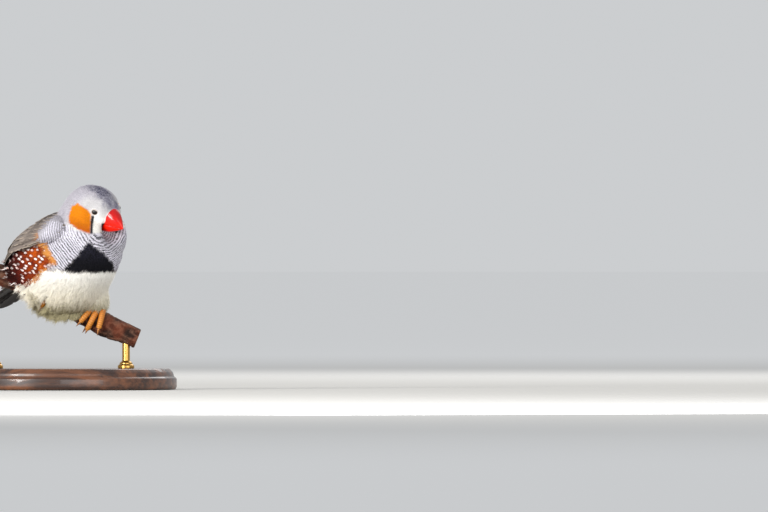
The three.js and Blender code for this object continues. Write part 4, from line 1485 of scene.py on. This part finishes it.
def wing_blades(side):
    dice = np.random.default_rng(40 + side)
    bundle = Bundle()
    for tier in (PRIMARIES, TERTIALS, GREAT_COVERTS, MIDDLE_COVERTS):
        for i in range(tier["count"]):
            share = i / (tier["count"] - 1)
            s0 = between(tier["root"], share) - 0.01 * dice.random()
            s1 = between(tier["tip"], share) - 0.014 * dice.random()
            a0 = tier["low"][0] + (tier["high"][0] - tier["low"][0]) * share
            a1 = tier["low"][1] + (tier["high"][1] - tier["low"][1]) * share + dice.normal(0, 0.7)
            half, lift = between(tier["half"], share), between(tier["lift"], share)
            length = (s1 - s0) * abs(WING_REAR - WING_FRONT) * 1.05

            def surface(u, across):
                s = s0 + (s1 - s0) * u
                radius = TRUNK_ROUND[0] * (1 - s) + TRUNK_ROUND[1] * s
                angle = np.radians(a0 + (a1 - a0) * u) + across / radius
                rise = 0.5 + lift * np.minimum(1, u * 1.6) - 0.3 * across / half
                return wing_place(s, angle, rise, side), wing_out(s, angle, side)

            made = blade(surface, length, half, 0.25, dice, splits=tier["splits"])
            tint = hexed(tier["tone"]) * dice.uniform(0.86, 1.12)
            bundle.add(*made, plumage=tint, rim_light=tier["rim"])
    return bundle.parts()


def blade_finish():
    material, tree, shader = new_finish("flight_feathers", 0.62, sheen=0.08, specular=0.3)
    base = carried(tree, "plumage", "Color")
    barbs = maths(tree, "SINE", times(tree, carried(tree, "barb"), 2 * math.pi / 0.42))
    grain = noise(tree, 0.9, 3.0)
    base = mixed(tree, times(tree, grain, 0.3), base, rgba("3b332f"))
    rim = stepped(tree, carried(tree, "edge"), 0.72, 0.97)
    base = mixed(tree, times(tree, rim, carried(tree, "rim_light")), base, rgba("b3a594"))
    base = mixed(tree, times(tree, carried(tree, "shaft"), 0.6), base, rgba("2c2420"))
    tree.links.new(base, shader.inputs["Base Color"])
    bump(tree, shader, times(tree, barbs, 0.5), 0.03, 0.6)
    return material


flight_feathers = blade_finish()
for name, side in (("left", 1), ("right", -1)):
    points, faces, values = wing_blades(side)
    piece = add_mesh(
        f"wing_blades_{name}", body_to_room(points), faces, flight_feathers, values
    )
    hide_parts(f"wing_{name}")

# %% [markdown]
# ### The soft shoulder
# Round the bend of the wing the coverts are so small that they read as plumage. The same tufts as on the
# body grow there, rooted a little above the surface that the blades lie on. Towards the pad's edges
# their roots come down to the skin. Those that would start under the skin, on the nape or near the face
# are left out.

# %% The skin under the shoulder
skin_tree = KDTree(len(skin))
for i, point in enumerate(skin):
    skin_tree.insert(point, i)
skin_tree.balance()


def on_skin(points):
    """The nearest places of the skin, and the way out there."""
    found = [skin_tree.find(point)[1] for point in points]
    return skin[found], skin_out[found]


print("under the left wing's bend the skin is at", on_skin(bend[None])[0][0].round(1))

# %% Where the shoulder's tufts stand
SHOULDER_STEPS = 46
SHOULDER_REACH = (-0.05, 0.29)  # along the wing
SHOULDER_ROUND = (10, 84)  # degrees up from level


def shoulder_roots(side, dice):
    """Places along the wing, roots, ways out and back, and how far each is up from skin to wing."""
    s = np.linspace(*SHOULDER_REACH, SHOULDER_STEPS)
    angle = np.radians(np.linspace(*SHOULDER_ROUND, SHOULDER_STEPS))
    s, angle = np.meshgrid(s, angle, indexing="ij")
    s = (s + dice.uniform(-0.004, 0.004, s.shape)).ravel()
    angle = (angle + dice.uniform(-0.012, 0.012, angle.shape)).ravel()
    lift = 1.0 + 1.1 * ramp(s, 0.0, 0.12)
    at, out = wing_place(s, angle, lift, side), wing_out(s, angle, side)
    lie = unit(wing_place(s + 0.02, angle - 0.004, lift, side) - at)
    under, under_out = on_skin(at)
    above = ((at - under) * under_out).sum(1)
    upon = ramp(s, -0.03, 0.07) * ramp(np.abs(np.degrees(angle) - 46), 37, 27)
    near = (np.linalg.norm(at - under, axis=1) < 2.2) | (upon > 0.4)
    on_nape = (np.abs(under[:, 1]) < 5.4) & (under[:, 2] > 15.5)
    shown = (above > -0.7) & (from_bill(under) > 17) & near & ~on_nape
    at = under + (at - under) * upon[:, None]
    out = unit(under_out + (out - under_out) * upon[:, None])
    lie = unit(lie - (lie * out).sum(1, keepdims=True) * out)
    return s[shown], at[shown], out[shown], lie[shown], upon[shown]


# %% Shoulder tufts
SHOULDER_LENGTHS = [(0, 0.15, 0.3), (2.6, 3.0, 3.4)]  # along the wing, and a tuft's length there
SHOULDER_BREADTH = 0.3


def shoulder(side):
    dice = np.random.default_rng(60 + side)
    s, at, out, lie, upon = shoulder_roots(side, dice)
    length = np.interp(s, *SHOULDER_LENGTHS)
    made = tufts(at, out, lie, length, length * SHOULDER_BREADTH, *TUFTS["shoulder"], dice)
    solid, flat, faces, shape = made
    tint = dice.uniform(0.9, 1.08, (len(at), 1))
    values = carried_values(at + lie * 1.5, tint)
    brown = ramp(s + ripple(at, 3, 61) * 0.02, 0.15, 0.23)
    values["plumage"] += (hexed("857a71") * tint - values["plumage"]) * brown[:, None]
    values["barred"] = values["barred"] * (1 - brown)
    values["spotted"] = values["spotted"] * (1 - upon)
    values = {key: np.repeat(data, len(shape), axis=0) for key, data in values.items()}
    fine = carried_values(flat)
    for key in FINER:
        values[key] = fine[key]
    return solid, faces, values, skin_patches(at, np.array([0, 0, 5.0]), shape)


for name, side in (("left", 1), ("right", -1)):
    solid, faces, values, patches = shoulder(side)
    room = body_to_room(solid)
    add_mesh(f"shoulder_{name}", room, faces, plumage, values, patches)

# %% [markdown]
# ## The tail
# Twelve feathers make the tail. The middle pair lies on top and each outer pair a step lower. Over their
# roots lie the long upper coverts, which in this species are black with broad white bars.

# %% Tail feathers and their coverts
TAIL_AT = np.array([-19.5, 0, -2.8])
TAIL_TURN = turn("y", -21)
TAIL_LENGTH = 40.0
TAIL_HALF = 2.7
COVERT_LENGTHS = (19.0, 14.0, 9.5)
COVERT_BARS = 6.4  # from bar to bar


def tail_surface(pair, side, length, rise):
    def surface(u, across):
        out = 0.5 + pair * (0.35 + 0.42 * u)
        aside = side * out + across
        height = rise * (1 - 0.8 * u) - 0.4 * pair - 0.02 * aside**2
        points = np.stack([-u * length, aside, height], axis=-1)
        way = np.stack([0 * u, 0.04 * aside, np.ones_like(u)], axis=-1)
        return points @ TAIL_TURN.T + TAIL_AT, unit(way) @ TAIL_TURN.T

    return surface


def tail_blades():
    dice = np.random.default_rng(80)
    bundle = Bundle()
    for pair in range(5, -1, -1):
        for side in (1, -1):
            length = TAIL_LENGTH - 0.16 * pair**2
            surface = tail_surface(pair, side, length, 0)
            made = blade(surface, length, TAIL_HALF, 0.3 * side * (pair > 0), dice, rows=44, splits=4)
            tint = hexed("211e20") * dice.uniform(0.85, 1.25)
            bundle.add(*made, plumage=tint, rim_light=0.12)
    return bundle.parts()


def covert_blades():
    dice = np.random.default_rng(81)
    bundle = Bundle()
    for layer, longest in enumerate(COVERT_LENGTHS):
        for pair in range(3, -1, -1):
            for side in (1, -1):
                length = longest - 1.5 * pair + dice.uniform(-0.5, 0.5)
                surface = tail_surface(pair * 0.95, side, length, 1.5 + 0.5 * layer)
                made = blade(surface, length, TAIL_HALF, 0.0, dice, rows=36, splits=4)
                turns = (made[2]["along"] - length) * 2 * math.pi / COVERT_BARS
                bars = ramp(np.sin(turns + 2.2), -0.15, 0.15)[:, None]
                tint = hexed("f4f1ec") * (1 - bars) + hexed("161417") * bars
                made[2]["plumage"] = tint * dice.uniform(0.9, 1.05)
                bundle.add(*made, rim_light=0.0)
    return bundle.parts()


points, faces, values = tail_blades()
tail_piece = add_mesh(
    "tail_blades", body_to_room(points), faces, flight_feathers, values
)
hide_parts("tail")
points, faces, values = covert_blades()
add_mesh("tail_coverts", body_to_room(points), faces, flight_feathers, values)

# %% [markdown]
# ## Feet
# A perching bird's toes wrap the twig, three in front and one behind. Each is a chain of soft pads below
# and a row of hard plates above. A tube swept along the toe's line gives both when its radius depends on
# the side: plates are small saw teeth on top, pads are slow swellings underneath.

# %% Toes
TOE_PLATES = {"middle": 15, "inner": 11, "outer": 12, "hind": 12}


def toe_mesh(foot, name, rings=96, around=22):
    toe = TOES[name]
    line, way = toe_line(foot, toe, rings)
    u = np.linspace(0, 1, rings)
    ahead = unit(np.gradient(line, axis=0))
    way = unit(way - (way * ahead).sum(1, keepdims=True) * ahead)
    side = np.cross(ahead, way)
    uu, aa = np.meshgrid(u, full_circle(around), indexing="ij")
    above = np.clip(np.cos(aa), 0, 1)
    below = np.clip(-np.cos(aa), 0, 1)
    plate = (uu * TOE_PLATES[name]) % 1
    tooth = 0.1 * (plate - 0.5) - 0.12 * np.exp(-((np.minimum(plate, 1 - plate) / 0.1) ** 2))
    pads = 0.2 * np.abs(np.sin(uu * math.pi * 3.5 + 0.3))
    radius = TOE_RADIUS * (1.12 - 0.2 * uu)
    radius = radius * (1 + tooth * above**0.5 + (pads - 0.06) * below)
    radius = radius * np.sqrt(np.clip((1.02 - uu) / 0.06, 0.02, 1))
    points = line[:, None] + radius[..., None] * swung(aa, way[:, None], side[:, None])
    points = np.concatenate([points.reshape(-1, 3), line[:1], line[-1:]])
    groove = np.exp(-((np.minimum(plate, 1 - plate) / 0.12) ** 2)) * above**0.4
    values = {"groove": np.append(groove.ravel(), [0, 0]), "reach": np.append(uu.ravel(), [0, 1])}
    return points, [grid_faces(rings, around, closed=True), end_fans(rings, around)], values


def foot_finish():
    material, tree, shader = new_finish("foot_scales", 0.5, specular=0.45)
    base = mixed(tree, noise(tree, 0.7, 3.0), rgba("c67c20"), rgba("ab5612"))
    base = mixed(tree, times(tree, carried(tree, "groove"), 0.6), base, rgba("66280c"))
    base = mixed(tree, times(tree, carried(tree, "reach"), 0.2), base, rgba("f2bc58"))
    tree.links.new(base, shader.inputs["Base Color"])
    bump(tree, shader, noise(tree, 0.18, 3.0), 0.05, 0.6)
    return material


foot_scales = foot_finish()
for foot in FEET:
    for name in TOES:
        points, faces, values = toe_mesh(foot, name)
        piece = add_mesh(
            f"toe_{foot}_{name}_scaled", points, faces, foot_scales, values
        )
        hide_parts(f"toe_{foot}_{name}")
    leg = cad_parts[f"leg_{foot}"]
    leg.data.materials.clear()
    leg.data.materials.append(foot_scales)

# %% Claws
CLAW_RADIUS = 0.7
CLAW_FLAT = 0.72  # its width as a share of its height
CLAW_BEND = 0.2  # how far its tip falls, as a share of its length


def claw_mesh(foot, name, rings=22, around=14):
    long = TOES[name]["claw"]
    line, way = toe_line(foot, TOES[name], 41)
    start, on = line[-1], unit(line[-1] - line[-2])
    bend = unit(on - unit(line[33] - line[32]))
    root = start + on * 0.05
    middle = start + on * long * 0.55
    tip = start + on * long + bend * long * CLAW_BEND
    t = np.linspace(0, 1, rings)[:, None]
    curve = (1 - t) ** 2 * root + 2 * t * (1 - t) * middle + t * t * tip
    ahead = unit(np.gradient(curve, axis=0))
    side = unit(np.cross(ahead, way[-1]))
    over = np.cross(side, ahead)
    radius = CLAW_RADIUS * (1 - 0.93 * t**1.15)
    ways = swung(full_circle(around)[None], over[:, None], CLAW_FLAT * side[:, None])
    points = curve[:, None] + radius[:, None] * ways
    points = np.concatenate([points.reshape(-1, 3), curve[:1], tip[None]])
    reach = np.append(np.repeat(t.ravel(), around), [0, 1])
    return points, [grid_faces(rings, around, closed=True), end_fans(rings, around)], reach


def claw_finish():
    material, tree, shader = new_finish("claw_horn", 0.32, coat=0.25)
    base = mixed(tree, carried(tree, "reach"), rgba("b87028"), rgba("6a3512"))
    base = mixed(tree, times(tree, noise(tree, 0.6), 0.3), base, rgba("efc79a"))
    tree.links.new(base, shader.inputs["Base Color"])
    bump(tree, shader, noise(tree, 0.4), 0.03, 0.4)
    return material


claw_horn = claw_finish()
for foot in FEET:
    for name in TOES:
        points, faces, reach = claw_mesh(foot, name)
        piece = add_mesh(
            f"claw_{foot}_{name}_horn", points, faces, claw_horn, {"reach": reach}
        )
        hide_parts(f"claw_{foot}_{name}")

# %% [markdown]
# ## The twig
# The perch is a cut length of a thin branch with rough, dark, red-brown bark. A tube is swept along its
# course and its surface moved in and out by stretched noise, for ridges along the wood, and by finer
# noise for the crust. The cut ends show pale wood with rings.

# %% Bark and cut ends
TWIG_RINGS, TWIG_AROUND = ((300, 110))
BARK = {"ridges": 0.22, "crust": 0.09, "flakes": 0.16}


def bark_mesh():
    share = np.linspace(0, 1, TWIG_RINGS)
    middle = twig_at(share)
    ahead = unit(np.gradient(middle, axis=0))
    front = np.tile([0.0, -1.0, 0.0], (TWIG_RINGS, 1))
    top = unit(np.cross(ahead, front))
    top = np.where(top[:, 2:] < 0, -top, top)
    angle = full_circle(TWIG_AROUND)
    ss, aa = np.meshgrid(share, angle, indexing="ij")
    ring = np.column_stack([np.cos(aa.ravel()) * 4, np.sin(aa.ravel()) * 4])
    along = ss.ravel() * twig_length
    stretched = np.column_stack([ring, along * 0.28])
    even = np.column_stack([ring, along])
    ridges = 1 - np.abs(ripple(stretched, 1.5, 91))
    crust = ripple(even, 0.55, 92) * 0.5 + ripple(even, 1.1, 93) * 0.5
    flakes = ramp(ripple(even, 2.6, 94), 0.35, 0.5) * BARK["flakes"]
    deep = ridges * BARK["ridges"] + crust * BARK["crust"] + flakes - 0.1
    round_end = np.minimum(1, np.minimum(ss, 1 - ss).ravel() * twig_length / 0.5)
    radius = twig_radius(ss.ravel()) * 0.975 + deep - (1 - round_end) * 0.25
    radius = radius.reshape(ss.shape)[..., None]
    points = middle[:, None] + radius * swung(aa, front[:, None], top[:, None])
    values = {"deep": deep, "mark": ripple(even, 3.2, 95)}
    quads = grid_faces(TWIG_RINGS, TWIG_AROUND, closed=True)
    return points.reshape(-1, 3), quads[:, ::-1], values


def cut_end(row_points, middle, way, rings=14):
    """A flat disc of rings that closes one end, a little hollow, and how far out each point is."""
    parts, values = [row_points], [np.ones(len(row_points))]
    for i in range(1, rings):
        share = 1 - i / rings
        sunk = way * (0.05 * math.sin(share * 31) - 0.15 * (1 - share))
        parts.append(middle + (row_points - middle) * share + sunk)
        values.append(np.full(len(row_points), share))
    parts.append(middle[None] - way * 0.15)
    values.append([0.0])
    around = len(row_points)
    quads = grid_faces(rings, around, closed=True)
    step = np.arange(around)
    last = (rings - 1) * around
    fan = np.column_stack([last + step, last + (step + 1) % around, np.full(around, rings * around)])
    return np.concatenate(parts), [quads, fan], np.concatenate(values)


def bark_finish():
    material, tree, shader = new_finish("bark", 0.9, specular=0.25)
    deep = stepped(tree, carried(tree, "deep"), -0.12, 0.2)
    base = mixed(tree, deep, rgba("20110b"), rgba("6a4a3a"))
    marks = stepped(tree, carried(tree, "mark"), -0.6, 0.9)
    base = mixed(tree, times(tree, marks, 0.5), base, rgba("7d3b22"))
    lichen = stepped(tree, noise(tree, 2.4, 4.0), 0.6, 0.72)
    base = mixed(tree, times(tree, lichen, 0.55), base, rgba("8c7b69"))
    base = mixed(tree, times(tree, noise(tree, 0.5, 4.0), 0.4), base, rgba("2b1811"))
    tree.links.new(base, shader.inputs["Base Color"])
    bump(tree, shader, noise(tree, 0.35, 4.0), 0.25, 0.8)
    return material


def cut_wood_finish():
    material, tree, shader = new_finish("cut_wood", 0.7, specular=0.3)
    turns = times(tree, carried(tree, "ring"), 2 * math.pi * 6)
    rings = stepped(tree, maths(tree, "SINE", turns), -0.6, 1.0)
    base = mixed(tree, rings, rgba("c79d6c"), rgba("8c5f3a"))
    base = mixed(tree, stepped(tree, carried(tree, "ring"), 0.82, 0.95), base, rgba("3a2016"))
    base = mixed(tree, times(tree, noise(tree, 0.3, 4.0), 0.35), base, rgba("e0bd8c"))
    tree.links.new(base, shader.inputs["Base Color"])
    bump(tree, shader, noise(tree, 0.2, 3.0), 0.08, 0.6)
    return material


bark_points, bark_quads, bark_values = bark_mesh()
bark_piece = add_mesh("twig_bark", bark_points, [bark_quads], bark_finish(), bark_values)
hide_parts("perch")
cut_wood = cut_wood_finish()
TWIG_ENDS = {
    "low": (bark_points[-TWIG_AROUND:], 1.0, 0.99),
    "high": (bark_points[:TWIG_AROUND], 0.0, 0.01),
}
for name, (row_points, end, before_end) in TWIG_ENDS.items():
    way = unit(twig_at(end) - twig_at(before_end))
    points, faces, ring = cut_end(row_points, row_points.mean(0), way)
    if name == "low":
        faces = [part[:, ::-1] for part in faces]
    add_mesh(f"twig_end_{name}", points, faces, cut_wood, {"ring": ring})

# %% [markdown]
# ## The stand
# A museum's small mounts stand on a turned and polished disc with two brass rods. A turned piece is a
# profile swung round its axis, so both come from short profiles with rounded edges. The photograph shows
# no stand, so this one is plain.


# %% Turned pieces
def turned(profile, around, at=(0, 0)):
    profile = np.array(profile, float)
    angle = full_circle(around)
    rings = np.stack(
        [
            profile[:, :1] * np.cos(angle) + at[0],
            profile[:, :1] * np.sin(angle) + at[1],
            np.repeat(profile[:, 1:], around, axis=1),
        ],
        axis=-1,
    )
    return rings.reshape(-1, 3), [grid_faces(len(profile), around, closed=True)[:, ::-1]]


def rounded(corners, radius, steps=6):
    """A profile whose inner corners are rounded off."""
    line = [corners[0]]
    for before, corner, after in zip(corners, corners[1:], corners[2:]):
        before, corner, after = np.array(before), np.array(corner), np.array(after)
        cut = min(radius, np.linalg.norm(before - corner) / 2.2, np.linalg.norm(after - corner) / 2.2)
        start, end = corner + unit(before - corner) * cut, corner + unit(after - corner) * cut
        for t in np.linspace(0, 1, steps):
            line.append(tuple((1 - t) ** 2 * start + 2 * t * (1 - t) * corner + t * t * end))
    return [*line, corners[-1]]


def wood_finish():
    material, tree, shader = new_finish("turned_wood", 0.38, coat=0.35)
    place = add_node(tree, "ShaderNodeTexCoord").outputs["Object"]
    grain_place = add_node(tree, "ShaderNodeMapping", None, Vector=place, Scale=(6.0, 60.0, 60.0))
    wave = noise(tree, 220.0, 6.0, 0.65, grain_place.outputs[0])
    pores = noise(tree, 90.0, 2.0, 0.5, grain_place.outputs[0])
    base = mixed(tree, stepped(tree, wave, 0.35, 0.68), rgba("2d170d"), rgba("6e4227"))
    base = mixed(tree, times(tree, stepped(tree, pores, 0.62, 0.7), 0.5), base, rgba("1a0d07"))
    tree.links.new(base, shader.inputs["Base Color"])
    bump(tree, shader, wave, 0.05, 0.35)
    return material


def brass_finish():
    material, tree, shader = new_finish("brass", 0.27, metal=1.0)
    base = mixed(tree, noise(tree, 3.0, 4.0), rgba("c9a15a"), rgba("a57c3a"))
    tree.links.new(base, shader.inputs["Base Color"])
    bump(tree, shader, noise(tree, 0.5, 3.0), 0.02, 0.3)
    return material


BASE_RADIUS, BASE_HEIGHT = 46.0, 8.0
RODS_AT = (-24.0, 26.5)
ROD_RADIUS, COLLAR_RADIUS = 1.5, 3.2
base_side = [(0.01, 0.0), (BASE_RADIUS - 0.4, 0.0), (BASE_RADIUS, 1.0), (BASE_RADIUS, 4.2)]
base_step = [(44.9, 5.0), (44.6, 6.4), (43.2, BASE_HEIGHT)]
base_groove = [(40.5, BASE_HEIGHT), (40.0, 7.7), (39.5, BASE_HEIGHT), (0.01, BASE_HEIGHT)]
base_points, base_faces = turned(rounded(base_side + base_step + base_groove, 0.5), 180)
base_piece = add_mesh("base_turned", base_points, base_faces, wood_finish())
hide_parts("stand_base")

brass = brass_finish()
for i, rod_x in enumerate(RODS_AT, 1):
    top = np.interp(rod_x, twig_line[:, 0], twig_line[:, 1]) - 2.4
    low = BASE_HEIGHT
    profile = [(0.01, low), (COLLAR_RADIUS, low), (COLLAR_RADIUS, low + 1.2), (2.5, low + 1.7)]
    profile += [(2.5, low + 2.2), (ROD_RADIUS, low + 3.0), (ROD_RADIUS, top), (0.01, top)]
    points, faces = turned(rounded(profile, 0.3), 48, (rod_x, TWIG_Y))
    rod = add_mesh(f"rod_{i}_turned", points, faces, brass)
    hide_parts(f"stand_rod_{i}")

# %% [markdown]
# ## Floor, light and camera
# A wide, pale floor and large soft lamps keep the eye on the bird. Key and fill stand in front of it, to
# the left and to the right, and a third lamp lights its back. The fourth is a tall
# strip to the left, tilted so that its reflection is the long glint on the bill. The camera looks level
# from 8 metres away through a long lens, which keeps the bird's proportions.

# %% Floor and lamps
def floor_finish():
    material, tree, shader = new_finish("floor_paper", 1.0, specular=0.0)
    base = mixed(tree, noise(tree, 40.0, 3.0), rgba("c9c7c3"), rgba("cfcdc9"))
    place = add_node(tree, "ShaderNodeTexCoord").outputs["Object"]
    away = add_node(tree, "ShaderNodeVectorMath", {"operation": "LENGTH"}, i0=place).outputs["Value"]
    base = mixed(tree, stepped(tree, away, 0.2, 3.0), base, rgba("fbfbfb"))
    tree.links.new(base, shader.inputs["Base Color"])
    return material


FLOOR_RADIUS, FLOOR_HEIGHT = 60, -0.0002  # in metres, as all of the room round the bird
floor_mesh = bpy.data.meshes.new("floor")
angle = full_circle(64)
rim = np.column_stack([np.cos(angle), np.sin(angle)]) * FLOOR_RADIUS
rim = np.column_stack([rim, np.full(64, FLOOR_HEIGHT)])
floor_mesh.from_pydata(rim.tolist(), [], [list(range(64))])
floor_mesh.materials.append(floor_finish())
floor = bpy.data.objects.new("floor", floor_mesh)
bpy.context.scene.collection.objects.link(floor)

# %% Lamps and sky
AIM = np.array([0.005, -0.01, 0.05])
LAMPS = {  # place, size, watts, colour, and degrees about the lamp's own axis
    "key": ((-0.65, -1.0, 0.6), (0.4, 0.4), 5.0, (1.0, 0.98, 0.95), 0),
    "strip": ((-0.83, -1.01, 0.34), (0.24, 0.6), 14.0, (1.0, 0.99, 0.97), 33),
    "fill": ((0.5, -1.1, 0.12), (0.9, 0.9), 9.0, (0.97, 0.98, 1.0), 0),
    "back": ((0.25, 0.9, 0.8), (0.7, 0.7), 5.0, (1.0, 1.0, 1.0), 0),
}
for name, (place, (wide, tall), power, tone, tilt) in LAMPS.items():
    light = bpy.data.lights.new(name, "AREA")
    light.shape = "RECTANGLE"
    light.size, light.size_y = wide, tall
    light.energy, light.color = power, tone
    lamp = bpy.data.objects.new(name, light)
    lamp.location = place
    tilted = Quaternion((0, 0, 1), math.radians(tilt))
    towards = Vector(AIM - np.array(place)).to_track_quat("-Z", "Y")
    lamp.rotation_euler = (towards @ tilted).to_euler()
    bpy.context.scene.collection.objects.link(lamp)
    print(f"lamp {name}: {power} W, {wide} by {tall} m")

bpy.context.scene.view_settings.view_transform = "Standard"
world = bpy.data.worlds.new("room")
world.use_nodes = True
sky = world.node_tree.nodes["Background"]
sky.inputs["Color"].default_value = (0.86, 0.88, 0.9, 1)
sky.inputs["Strength"].default_value = 0.7
bpy.context.scene.world = world

# %% Camera
PICTURE = (768, 512)
PIXELS_PER_MM = 2.6
BODY_PIXEL = (70, 262)  # where the photograph shows the middle of the body's frame
CAMERA_DISTANCE = 8000.0
SENSOR = 36
camera_data = bpy.data.cameras.new("camera")
camera = bpy.data.objects.new("camera", camera_data)
bpy.context.scene.collection.objects.link(camera)
bpy.context.scene.camera = camera
camera_data.sensor_width = SENSOR
camera_data.lens = SENSOR * CAMERA_DISTANCE / (PICTURE[0] / PIXELS_PER_MM)
middle_x = BODY_AT[0] + (PICTURE[0] / 2 - BODY_PIXEL[0]) / PIXELS_PER_MM
middle_z = BODY_AT[2] + (BODY_PIXEL[1] - PICTURE[1] / 2) / PIXELS_PER_MM
camera.location = Vector((middle_x, BODY_AT[1] - CAMERA_DISTANCE, middle_z)) * MM
camera.rotation_euler = (math.pi / 2, 0, 0)
camera_data.clip_start, camera_data.clip_end = 0.1, 100
print("lens", round(camera_data.lens), "mm, camera at", [round(v, 3) for v in camera.location])
